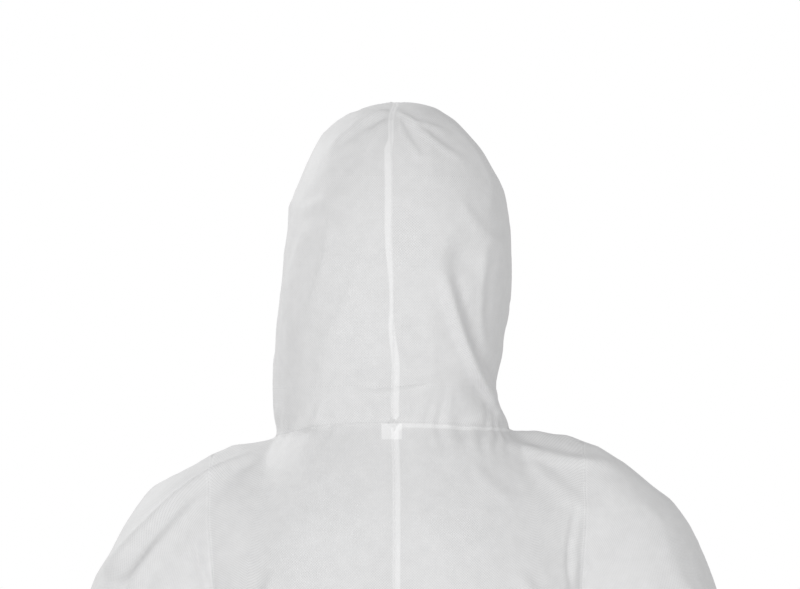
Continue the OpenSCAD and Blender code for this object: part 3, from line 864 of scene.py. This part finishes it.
def nonwoven_material():
    """Thin white nonwoven: cloudy fibres, rows of bond dots, sewn seams with a folded edge behind them, and
    painted shade darkening the groove of each sewn line.
    """
    m = Shader("white_nonwoven", (0.8, 0.8, 0.8), 0.62, Sheen_Weight=0.15, Sheen_Roughness=0.5,
               Specular_IOR_Level=0.3)
    rest = m.place("rest")
    cut = m.add("SeparateXYZ", m.place("cut")).node.outputs
    slants = [m.wave(both, 2 * DOT_PITCH) for both in (m.plus(cut[0], cut[1]), m.minus(cut[0], cut[1]))]
    dots = m.math("POWER", m.math("ABSOLUTE", m.times(*slants)), 1.5)
    cloud, fibre, patches = m.noise(rest, 95.0, 5.0), m.noise(rest, 1400.0, 3.0), m.noise(rest, 16.0, 3.0)
    far = m.number("seam_far")
    # the groove of each sewn line: cut into the bump below, and also used as painted shade in the colour
    line = m.below(far, 0.9, 0.9)
    inside = m.minus(far, m.number("allowance"))
    allowance = m.times(m.below(inside, 0.0, 1.4), m.number("allowance_tone"))
    thread = m.math("GREATER_THAN", m.wave(m.number("seam_along"), STITCH_PITCH), 0.35)
    stitch = m.times(m.below(far, 1.7, 0.6), thread)
    place = m.add("SeparateXYZ", rest).node.outputs
    label = m.math("GREATER_THAN", place[1], 0.0)
    for axis, middle, half in ((0, LABEL_PLACE[0], LABEL_HALF[0]), (2, LABEL_PLACE[1], LABEL_HALF[1])):
        off = m.math("ABSOLUTE", m.minus(place[axis], middle))
        label = m.times(label, m.below(off, half, 0.0012))
    tone = m.plus(m.times(m.minus(cloud, 0.5), 0.09), m.times(m.minus(patches, 0.5), 0.05))
    clear = m.add("MapRange", patches, 0.35, 0.65, 0.05, 0.14)
    tone = m.minus(tone, m.times(dots, clear))
    tone = m.plus(tone, m.times(m.minus(fibre, 0.5), 0.07))
    # doubled cloth is whiter, and its pattern is fainter
    white = m.plus(m.times(allowance, 0.10), m.times(label, 0.10))
    tone = m.plus(m.times(tone, m.minus(1.0, m.times(white, 4.5))), white)
    # painted shade: the colour is darkened by 0.04 along the groove of each sewn line
    tone = m.minus(tone, m.times(line, 0.04))
    m.paint(m.plus(tone, 0.765), blue=1.004)
    m.set("Roughness", m.scaled(cloud, 0.14, 0.56))
    height = m.plus(m.times(dots, -0.5), m.times(fibre, 0.55))
    waist = m.number("waist")
    for part, amount in ((cloud, 0.8), (line, -1.5), (stitch, 0.9), (allowance, 0.8), (waist, -1.6)):
        height = m.plus(height, m.times(part, amount))
    m.bumps(height, 0.55, 0.00022)
    return m.material


def hem_material():
    """Gathered nonwoven over elastic."""
    m = Shader("gathered_hem", (0.8, 0.8, 0.8), 0.6, Sheen_Weight=0.15, Specular_IOR_Level=0.3)
    rest = m.place("rest")
    cloud, fibre = m.noise(rest, 160.0, 5.0), m.noise(rest, 1400.0, 3.0)
    m.paint(m.plus(m.plus(m.times(cloud, 0.14), m.times(fibre, 0.08)), 0.65))
    m.bumps(m.plus(cloud, m.times(fibre, 0.6)), 0.5, 0.0003)
    return m.material


def elastic_material():
    """Flat braided elastic: fine ribs along the band."""
    m = Shader("braided_elastic", (0.86, 0.86, 0.84), 0.7, Sheen_Weight=0.2)
    weave = m.times(m.wave(m.number("across"), 0.0011), m.wave(m.number("along"), 0.0009))
    m.paint(m.scaled(weave, 0.05, 0.80), blue=0.985)
    m.bumps(weave, 0.5, 0.0002)
    return m.material


def seam_tape_material():
    """The folded edges inside a seam: two layers of cloth, so whiter, with overlock stitches across."""
    m = Shader("seam_allowance", (0.86, 0.86, 0.86), 0.62, Sheen_Weight=0.15)
    thread = m.math("GREATER_THAN", m.wave(m.number("along"), 0.0034), 0.2)
    cloud = m.noise(m.place("rest"), 200.0, 4.0)
    m.paint(m.plus(m.times(thread, 0.05), m.scaled(cloud, 0.1, 0.76)))
    m.bumps(m.scaled(thread, 0.8, cloud), 0.5, 0.0004)
    return m.material


def zip_tape_material():
    """Narrow woven polyester tape with a herringbone rib."""
    m = Shader("zip_tape", (0.84, 0.84, 0.85), 0.75, Sheen_Weight=0.25)
    slant = m.math("PINGPONG", m.number("across"), 0.0016)
    rib = m.wave(m.plus(m.number("along"), slant), 0.0012)
    m.paint(m.scaled(rib, 0.035, 0.8))
    m.bumps(rib, 0.6, 0.0002)
    return m.material


def coil_material():
    """Polyester monofilament: white, a little glossy, faintly streaked."""
    m = Shader("zip_coil", (0.87, 0.87, 0.87), 0.32, Specular_IOR_Level=0.5)
    streak = m.noise(m.place("rest"), 900.0, 2.0)
    m.paint(m.scaled(streak, 0.08, 0.82))
    m.set("Roughness", m.scaled(streak, 0.2, 0.24))
    m.bumps(streak, 0.3, 0.0001)
    return m.material


def painted_metal_material():
    """White enamel on die-cast zinc, rubbed at random to a slightly duller finish."""
    m = Shader("white_enamel", (0.86, 0.86, 0.86), 0.3, Coat_Weight=0.3, Coat_Roughness=0.15)
    place = m.add("TexCoord", out=3)
    peel, wear = m.noise(place, 900.0, 2.0), m.noise(place, 260.0, 5.0)
    worn = m.below(wear, 0.36, 0.05)
    m.set("Base Color", m.blend(worn, grey(0.86), grey(0.62, 0.02)))
    m.set("Roughness", m.scaled(wear, 0.35, 0.16))
    m.bumps(m.minus(peel, worn), 0.25, 0.0001)
    return m.material


def label_material():
    """Blank satin care label."""
    m = Shader("satin_label", (0.88, 0.88, 0.88), 0.42, Sheen_Weight=0.2)
    weft, warp = m.wave(m.number("across"), 0.0007), m.wave(m.number("along"), 0.0009)
    m.paint(m.scaled(weft, 0.03, 0.86))
    m.bumps(m.plus(weft, m.times(warp, 0.4)), 0.4, 0.00012)
    return m.material


def floor_material():
    m = Shader("studio_floor", (0.86, 0.86, 0.86), 0.8)
    m.paint(m.scaled(m.noise(m.add("TexCoord", out=3), 3.0, 4.0), 0.03, 0.86))
    return m.material


# ---------------------------------------------------------------- making the pieces
def make_piece(name, p, faces, material):
    """A mesh object from points in mm."""
    mesh = bpy.data.meshes.new(name)
    mesh.from_pydata((np.asarray(p) * MM).tolist(), [], [tuple(f) for f in faces])
    mesh.validate()
    mesh.update()
    mesh.shade_smooth()
    mesh.materials.append(material)
    piece = bpy.data.objects.new(name, mesh)
    bpy.context.scene.collection.objects.link(piece)
    add_vectors(piece, "rest", np.asarray(p) * MM)
    return piece


def add_numbers(piece, name, values):
    layer = piece.data.attributes.new(name, "FLOAT", "POINT")
    layer.data.foreach_set("value", np.asarray(values, np.float32))


def add_vectors(piece, name, values):
    layer = piece.data.attributes.new(name, "FLOAT_VECTOR", "POINT")
    layer.data.foreach_set("vector", np.asarray(values, np.float32).ravel())


def allowance_shows(name, kind, z):
    """How wide the folded allowance beside a sewn line is, in mm, and how clearly it shows through."""
    left, on_hood = "left" in name, name.startswith("hood")
    turned = ease((z - 60) / 50)
    over = mix(1.4, 6.6, turned) if left else mix(6.0, 0.8, turned)
    over = mix(over, 2.6, ease((z - 262) / 14)) * (1 - 0.45 * bump(z - 125, 34))
    neck_wide = 0.3 if on_hood else (1.2 if left else 4.4)
    kinds = [kind == "hood_back", kind == "centre_back", kind == "neck"]
    wide = np.select(kinds, [over, 1.8 if left else 5.2, neck_wide], 2.2)
    tone = np.select(kinds, [1.0, 0.9, 0.35 if left else 0.8], 0.35)
    return wide, tone


def make_cloth(cloth, start):
    """One panel of the welded cloth as its own piece, with what its material reads."""
    index = welded_index(cloth, start).ravel()
    repeats = (index[cloth.quads] == np.roll(index[cloth.quads], 1, axis=1)).sum(1)
    used, inverse = np.unique(cloth.quads[repeats < 2], return_inverse=True)
    index = index[used]
    p = final[index]
    corners = [tuple(dict.fromkeys(f)) for f in merged(index, inverse.reshape(-1, 4))]
    piece = make_piece(cloth.name, p, corners, nonwoven)
    piece.data.normals_split_custom_set_from_vertices(final_normals[index].tolist())
    cut = cloth.uv[used] * MM
    add_vectors(piece, "cut", np.concatenate([cut, np.zeros((len(cut), 1))], 1))
    add_numbers(piece, "seam_far", seam_far[index])
    add_numbers(piece, "seam_along", seam_along[index])
    wide, tone = allowance_shows(cloth.name, seam_kind[index], p[:, 2])
    add_numbers(piece, "allowance", wide)
    add_numbers(piece, "allowance_tone", tone)
    sewn = bump(np.abs(base[index][:, 2] - WAIST_Z) - 4, 1.6)
    add_numbers(piece, "waist", sewn * (np.abs(p[:, 0]) < 190))
    if cloth.nodes:
        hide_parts(*cloth.nodes)
    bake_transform(piece)


def merged(index, faces):
    """Corners that sit on the same welded point are one corner."""
    first_of = {}
    keep = np.array([first_of.setdefault(w, k) for k, w in enumerate(index.tolist())])
    return keep[faces].tolist()


nonwoven = nonwoven_material()
for panel, panel_start in zip(cloths, offsets):
    make_cloth(panel, panel_start)


# ---------------------------------------------------------------- hems, elastics and seam allowances
def grid_faces(rows, cols, wrap_rows=False, wrap_cols=False):
    index = np.arange(rows * cols).reshape(rows, cols)
    if wrap_rows:
        index = np.concatenate([index, index[:1]])
    if wrap_cols:
        index = np.concatenate([index, index[:, :1]], 1)
    return cell_corners(index)


def tube_faces(rows, cols, ends_turned=False):
    """The wall of a tube and its two flat ends."""
    ends = [tuple(range(cols)), tuple(range(rows * cols - 1, (rows - 1) * cols - 1, -1))]
    if ends_turned:
        ends = [end[::-1] for end in ends]
    return [tuple(f) for f in grid_faces(rows, cols, wrap_cols=True)] + ends


def resample(line, step, closed=False):
    """Evenly spaced points on a polyline, with how far along it each one is."""
    line = np.concatenate([line, line[:1]]) if closed else line
    far = np.concatenate([[0], np.cumsum(np.linalg.norm(np.diff(line[:, :3], axis=0), axis=1))])
    at = np.linspace(0, far[-1], max(3, int(far[-1] / step)) + 1)
    made = np.stack([np.interp(at, far, line[:, k]) for k in range(line.shape[1])], -1)
    return (made[:-1], at[:-1]) if closed else (made, at)


def unit(v):
    return v / np.maximum(np.linalg.norm(v, axis=-1, keepdims=True), 1e-9)


def line_frame(index, step, closed=False, evened=6):
    """Points, normals and sideways directions along a line of welded cloth points."""
    both, along = resample(np.concatenate([final[index], final_normals[index]], 1), step, closed)
    p, n = settle(both[:, :3], evened), unit(both[:, 3:])
    ahead = unit(np.roll(p, -1, 0) - np.roll(p, 1, 0)) if closed else unit(np.gradient(p, axis=0))
    side = unit(np.cross(ahead, n))
    return p, unit(np.cross(side, ahead)), side, along


def finish_piece(piece, nodes, bodies, bend=None):
    if nodes:
        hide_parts(*nodes)
    if bend is None:
        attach(piece, bodies[0])
    else:
        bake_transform(piece)


def ribbon(name, index, inset, half, material, nodes, bodies, bend=None, closed=False, wave=0.3):
    """A flat band that lies just inside the cloth along a sewn line."""
    p, n, side, along = line_frame(index, 3.0, closed)
    shares = np.linspace(-1, 1, 5)
    lift = wave * np.sin(along / 4.7)[:, None] * shares[None] ** 2
    grid = p[:, None] - n[:, None] * (inset + lift)[:, :, None]
    grid = grid + side[:, None] * (shares * half)[None, :, None]
    piece = make_piece(name, grid.reshape(-1, 3), grid_faces(len(p), 5, wrap_rows=closed), material)
    add_numbers(piece, "along", np.repeat(along, 5) * MM)
    add_numbers(piece, "across", np.tile(shares * half, len(p)) * MM)
    finish_piece(piece, nodes, bodies, bend)


def cloth_index(name):
    """The welded points of a panel laid out as its grid, and the grid as it was first drawn."""
    k = [c.name for c in cloths].index(name)
    return welded_index(cloths[k], offsets[k]), cloths[k].grid


def make_seam_allowances():
    """The folded edges behind the sewn lines."""
    left, right = cloth_index("hood_left")[0], cloth_index("hood_right")[0]
    over_crown = np.concatenate([left[::-1, -1], left[hood_levels > FACE_HIGH - 1, 0]])
    ribbon("hood_seam_allowance", over_crown, 1.6, 2.6, seam_tape, ["hood_centre_seam"],
           ["torso", "hood"], HOOD_BEND)
    back = cloth_index("back_left_chest")[0][:-1, 0]
    seat = cloth_index("back_left_seat")[0][:, 0]
    ring = np.concatenate([left[-1], right[-1][::-1]])[1:-1]
    front, grid = cloth_index("front_left_seat")
    rise = front[grid[:, -1, 2] < ZIP_END - 5, -1]
    for name, line, inset, half, slot, nodes in (
            ("back_seam_allowance", back, 1.6, 2.6, "seam", ["back_centre_seam"]),
            ("seat_seam_allowance", seat, 1.6, 2.6, "seam", []),
            ("neck_seam_allowance", ring, 2.2, 2.6, "seam", ["neck_seam"]),
            ("front_rise_allowance", rise, 1.2, 4.5, "cloth", ["front_rise_seam"])):
        ribbon(name, line, inset, half, seam_tape, nodes, ["torso"])


def make_waist_elastic():
    parts = [cloth_index(f"{part}_{side}_seat")[0][0] for part, side in
             (("back", "left"), ("front", "left"), ("front", "right"), ("back", "right"))]
    ring = np.concatenate([parts[0], parts[1], parts[2][::-1], parts[3][::-1]])
    ring = ring[np.concatenate([[True], ring[1:] != ring[:-1]])]
    ribbon("waist_band", ring[:-1], 3.4, 4.0, elastic, ["waist_elastic"], ["torso"], closed=True,
           wave=0.5)


HEM_SIDES = 12


def make_face_hem():
    """A gathered casing round the face opening, with the elastic inside it."""
    beside = (hood_levels >= FACE_LOW) & (hood_levels <= FACE_HIGH + 0.5)
    halves = [cloth_index("hood_" + side)[0][beside, 0] for side in ("left", "right")]
    path = np.concatenate([halves[0][::-1], halves[1][1:]])
    p, n, side, along = line_frame(path, 0.8, evened=40)
    n, side = unit(settle(n, 60)), unit(settle(side, 60))
    away = side * np.sign((side * (p - p.mean(0))).sum(1, keepdims=True).mean())
    turn = np.linspace(0, 2 * np.pi, HEM_SIDES + 1)[:-1]
    gather = np.cos(2 * np.pi * along / 7.4 + 1.5 * np.sin(along / 17) + 0.9 * np.sin(along / 6.1))
    rows = []
    for a in turn:
        wide = 5.6 * np.cos(a)
        thick = 1.5 * np.sin(a) * (1 + 0.25 * np.abs(np.cos(a)))
        ruffle = gather * mix(0.45, 1.25, abs(math.cos(a)))
        edge = 0.7 * np.sin(along / 2.9 + a) * max(0.0, math.cos(a))
        rows.append(p + away * (wide + 3.6 + edge)[:, None] + n * (thick + 0.8 + ruffle)[:, None])
    grid = np.stack(rows, 1)
    piece = make_piece("face_hem", grid.reshape(-1, 3), tube_faces(len(p), HEM_SIDES, ends_turned=True), hem)
    finish_piece(piece, ["hood_face_elastic"], ["torso", "hood"], HOOD_BEND)


# (distance past the end of the cloth, radius beyond the bore, share of the gathers), round the folded hem
HEM_PROFILE = [
    (-5, 2.9, 1.0), (-2, 3.3, 1.0), (1, 3.0, 0.9), (4, 2.3, 0.7), (7, 2.0, 0.55), (12, 2.0, 0.55),
    (15, 2.4, 0.8), (18, 3.0, 1.0), (19.6, 2.6, 1.0), (20, 1.8, 0.9), (19.2, 0.9, 0.5), (15, 0.5, 0.2),
    (8, 0.4, 0.1), (0, 0.6, 0.2), (-4, 1.0, 0.5),
]


def make_limb_hem(name, body, mirror, centre, axis, up, bore, count, seed, gather):
    """A gathered casing folded round the elastic at the end of a sleeve or leg."""
    angle = np.linspace(0, 2 * np.pi, count * 14 + 1)[:-1]
    out = np.cos(angle)[:, None] * up + np.sin(angle)[:, None] * np.array([0, 1.0, 0])
    wave = ripple(angle, count, seed)
    rows = []
    for past, beyond, share in HEM_PROFILE:
        down = past + 0.5 * wave * (past > 14)
        rows.append(centre + axis * down[:, None] + out * (bore + beyond + gather * share * wave)[:, None])
    grid = np.array(rows) * [mirror, 1, 1]
    faces = grid_faces(len(rows), len(angle), wrap_rows=True, wrap_cols=True)
    piece = make_piece(name + "_hem", grid.reshape(-1, 3), faces if mirror < 0 else faces[:, ::-1], hem)
    finish_piece(piece, [name + "_elastic"], [body])


def make_limb_hems():
    wrist = ARM_START + ARM_AXIS * CUFF_S
    foot = np.array([float(leg_x(ANKLE_Z)), float(leg_y(ANKLE_Z)), ANKLE_Z])
    for side, mirror in (("left", 1), ("right", -1)):
        make_limb_hem(side + "_cuff", side + "_forearm", mirror, wrist, ARM_AXIS, ARM_UP,
                      CUFF_R, CUFF_RIPPLES, 1.0, CUFF_GATHER)
        make_limb_hem(side + "_ankle", side + "_shin", mirror, foot, np.array([0, 0, -1.0]),
                      np.array([1.0, 0, 0]), ANKLE_R, ANKLE_RIPPLES, 2.0, ANKLE_GATHER)


def make_gusset():
    """The small sagging piece that joins the two legs under the seat."""
    edges_found = []
    for side in ("left", "right"):
        back, front = cloth_index(f"{side}_thigh_back")[0][0], cloth_index(f"{side}_thigh_front")[0][0]
        inner_back, inner_front = back[:INNER_CELLS + 1], front[::-1][:INNER_CELLS + 1]
        edges_found.append(final[np.concatenate([inner_back[::-1], inner_front[1:]])])
    left, right = edges_found
    share = np.linspace(0, 1, 7)[None, :, None]
    grid = left[:, None] * (1 - share) + right[:, None] * share
    sag = np.sin(np.pi * np.linspace(0, 1, len(left)))[:, None, None] * np.sin(np.pi * share)
    grid = grid - sag * np.array([0, 0, 1.6])
    piece = make_piece("gusset", grid.reshape(-1, 3), grid_faces(len(left), 7)[:, ::-1], hem)
    finish_piece(piece, ["crotch_gusset"], ["torso"])


def make_label():
    """A blank label sewn in under the nape, its lower edge free."""
    rows, cols = 12, 12
    down, across = np.meshgrid(np.linspace(0, 1, rows), np.linspace(-1, 1, cols), indexing="ij")
    low, high = np.array(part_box("size_label")) / MM
    z = high[2] - down * (high[2] - low[2]) - 0.5
    lift = 0.9 * down ** 2 * (1 + 0.5 * np.sin(2.1 * across)) + 0.4 * across ** 2 * down
    y = back_y(z) - 4.6 - lift
    x = across * (high[0] - low[0]) / 2
    front = np.stack([x, y, z], -1).reshape(-1, 3)
    faces = grid_faces(rows, cols)
    piece = make_piece("care_label", front, faces, label_cloth)
    add_numbers(piece, "across", x.ravel() * MM)
    add_numbers(piece, "along", z.ravel() * MM)
    piece.modifiers.new("thickness", "SOLIDIFY").thickness = 0.0004
    finish_piece(piece, ["size_label"], ["torso"])


hem, elastic, seam_tape = hem_material(), elastic_material(), seam_tape_material()
label_cloth = label_material()
make_seam_allowances()
make_waist_elastic()
make_face_hem()
make_limb_hems()
make_gusset()
make_label()


# ---------------------------------------------------------------- zip
ZIP_TILT = math.atan(LEAN)
ZIP_DOWN = np.array([0, -math.sin(ZIP_TILT), -math.cos(ZIP_TILT)])
ZIP_OUT = np.array([0, -math.cos(ZIP_TILT), math.sin(ZIP_TILT)])
ZIP_LENGTH = (ZIP_TOP - ZIP_END) / math.cos(ZIP_TILT)
ZIP_START = np.array([0, FRONT_Y, ZIP_TOP])
TOOTH_PITCH = 1.6


def on_zip(x, out, down):
    """A point beside the zip: x to the wearer's left, out of the chest, down the line, all in mm."""
    x, out, down = np.broadcast_arrays(x, out, down)
    across = x[..., None] * np.array([1.0, 0, 0])
    return ZIP_START + across + out[..., None] * ZIP_OUT + down[..., None] * ZIP_DOWN


def make_zip_tape(side, mirror):
    """One side's tape, two layers thick, from the tooth's foot out under the cloth."""
    down = np.linspace(0, ZIP_LENGTH + 9, 160)
    x = np.array([1.2, 2.6, 4.4, 6.2, 8.2])
    meet = ease((down - ZIP_LENGTH + 7) / 4)[:, None] * [1.15, 0, 0, 0, 0]
    out = np.array([-0.5, -0.35, -0.4, -0.9, -1.1])
    front = on_zip(mirror * (x[None] - meet), out[None], down[:, None])
    back = on_zip(mirror * (x[None] - meet), out[None] - 0.7, down[:, None])
    grid = np.concatenate([front, back[:, ::-1]], 1)
    faces = grid_faces(len(down), 10, wrap_cols=True)
    piece = make_piece("zip_tape_cloth_" + side, grid.reshape(-1, 3), faces if mirror < 0 else faces[:, ::-1],
                       zip_cloth)
    add_numbers(piece, "across", np.tile(np.concatenate([x, x[::-1]]), len(down)) * MM)
    add_numbers(piece, "along", np.repeat(down, 10) * MM)
    finish_piece(piece, ["zip_tape_" + side], ["torso"])


def make_teeth(side, mirror, phase):
    """One loop of monofilament per tooth: a round head, a waist and a foot on the tape."""
    turn = np.linspace(0, 2 * np.pi, 7)[:-1]
    spine_x = np.array([-0.55, -0.3, 0.4, 1.5, 2.5])
    wide = np.array([0.30, 0.62, 0.36, 0.34, 0.42])
    high = np.array([0.35, 0.75, 0.62, 0.62, 0.55])
    ring = on_zip(mirror * (spine_x[:, None] + 0 * turn[None]), 0.15 + high[:, None] * np.sin(turn)[None],
                  wide[:, None] * np.cos(turn)[None]) - ZIP_START
    loop = ring.reshape(-1, 3)
    one = tube_faces(len(spine_x), len(turn))
    count = int((ZIP_LENGTH - 12) / TOOTH_PITCH)
    p, faces = [], []
    for k in range(count):
        p.append(loop + on_zip(0.0, 0.0, 5.0 + (k + phase) * TOOTH_PITCH))
        faces += [tuple(np.array(f) + len(loop) * k) for f in one]
    if mirror > 0:
        faces = [f[::-1] for f in faces]
    piece = make_piece("zip_teeth_" + side, np.concatenate(p), faces, coil)
    finish_piece(piece, ["zip_coil_" + side], ["torso"])


def make_zip_edge(side):
    """The folded edge of the cloth beside the zip, from the chin to its lower end."""
    hood, _ = cloth_index("hood_" + side)
    upper = hood[hood_levels <= FACE_LOW, 0]
    chest = cloth_index(f"front_{side}_chest")[0][:, -1]
    seat, grid = cloth_index(f"front_{side}_seat")
    lower = seat[grid[:, -1, 2] > ZIP_END - 4, -1]
    p, n, across, along = line_frame(np.concatenate([upper, chest[1:], lower[1:]]), 2.4, evened=2)
    turn = np.linspace(0, 2 * np.pi, 9)[:-1]
    pucker = 0.22 * np.sin(along / 2.2) + 0.15 * np.sin(along / 5.3)
    flip = 1.0 if (across[:, 0].mean() > 0) == (side == "left") else -1.0
    rows = []
    for a in turn:
        rows.append(p + across * (flip * (1.7 * math.cos(a) + 1.0))
                    + n * (0.75 * math.sin(a) + 0.15 + pucker)[:, None])
    grid = np.stack(rows, 1)
    piece = make_piece("zip_edge_" + side, grid.reshape(-1, 3), tube_faces(len(p), len(turn)), hem)
    finish_piece(piece, [], ["torso"])


def finish_cad_node(name, material, bevel):
    """A small hard CAD piece stays as it is, with its edges broken and its own finish."""
    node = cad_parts[name]
    node.data.materials.clear()
    node.data.materials.append(material)
    edge = node.modifiers.new("broken_edges", "BEVEL")
    edge.width, edge.segments, edge.limit_method = bevel, 3, "ANGLE"


zip_cloth, coil, enamel = zip_tape_material(), coil_material(), painted_metal_material()
for zip_side, zip_mirror, zip_phase in (("left", 1, 0.0), ("right", -1, 0.5)):
    make_zip_tape(zip_side, zip_mirror)
    make_teeth(zip_side, zip_mirror, zip_phase)
    make_zip_edge(zip_side)
for cad_name, cad_bevel in (("zip_top_stops", 0.0003), ("zip_bottom_stop", 0.0006), ("zip_slider", 0.0004),
                            ("pull_tab", 0.0004)):
    finish_cad_node(cad_name, enamel, cad_bevel)


# ---------------------------------------------------------------- studio and camera
FLOOR_Z = cad_box[0][2] / MM - 1
FLOOR_R = 3000
FLOOR_SIDES = 96
WORLD_FILL = 0.45
# (name, place, aimed at, size) in metres, then watts
LIGHTS = [
    ("key", (-1.9, 3.1, 0.6), (0, 0, 0), 1.8, 28), ("fill", (1.5, 3.2, -0.1), (0, 0, -0.1), 2.0, 41),
    ("front_key", (2.6, -2.2, 1.9), (0, 0, -0.4), 1.1, 62),
    ("front_fill", (-2.2, -2.8, 0.2), (0, 0, -0.6), 2.4, 8), ("top", (0, 0.2, 2.6), (0, 0, 0), 1.6, 7),
]
CAMERA_PLACE = (-0.005, 3.2, 0.129)
LENS_MM, SENSOR_MM = 151.6, 36
CLIP_END = 50


def make_floor():
    ring = np.linspace(0, 2 * np.pi, FLOOR_SIDES + 1)[:-1]
    p = np.stack([FLOOR_R * np.cos(ring), FLOOR_R * np.sin(ring), np.full(FLOOR_SIDES, FLOOR_Z)], -1)
    make_piece("studio_floor", p, [tuple(range(FLOOR_SIDES))], floor_material())


def make_light(name, place, aim, size, watts):
    light = bpy.data.lights.new(name, "AREA")
    light.shape, light.size, light.energy = "DISK", size, watts
    lamp = bpy.data.objects.new(name, light)
    lamp.location = place
    lamp.rotation_euler = (Vector(aim) - Vector(place)).to_track_quat("-Z", "Y").to_euler()
    bpy.context.scene.collection.objects.link(lamp)


def make_world():
    """A white background, which lights the suit less than it shows."""
    world = bpy.data.worlds.new("studio")
    bpy.context.scene.world = world
    world.use_nodes = True
    nodes, links = world.node_tree.nodes, world.node_tree.links
    seen, fill = nodes["Background"], nodes.new("ShaderNodeBackground")
    for background, strength in ((seen, 1.0), (fill, WORLD_FILL)):
        background.inputs[0].default_value, background.inputs[1].default_value = (1, 1, 1, 1), strength
    path, choose = nodes.new("ShaderNodeLightPath"), nodes.new("ShaderNodeMixShader")
    links.new(path.outputs["Is Camera Ray"], choose.inputs[0])
    links.new(fill.outputs[0], choose.inputs[1])
    links.new(seen.outputs[0], choose.inputs[2])
    links.new(choose.outputs[0], nodes["World Output"].inputs[0])


def make_camera():
    lens = bpy.data.cameras.new("camera")
    lens.lens, lens.sensor_width, lens.clip_end = LENS_MM, SENSOR_MM, CLIP_END
    camera = bpy.data.objects.new("camera", lens)
    camera.location = CAMERA_PLACE
    camera.rotation_euler = (math.radians(90), 0, math.radians(180))
    bpy.context.scene.collection.objects.link(camera)
    bpy.context.scene.camera = camera


make_floor()
make_world()
for one_light in LIGHTS:
    make_light(*one_light)
bpy.context.scene.view_settings.view_transform = "Standard"
make_camera()
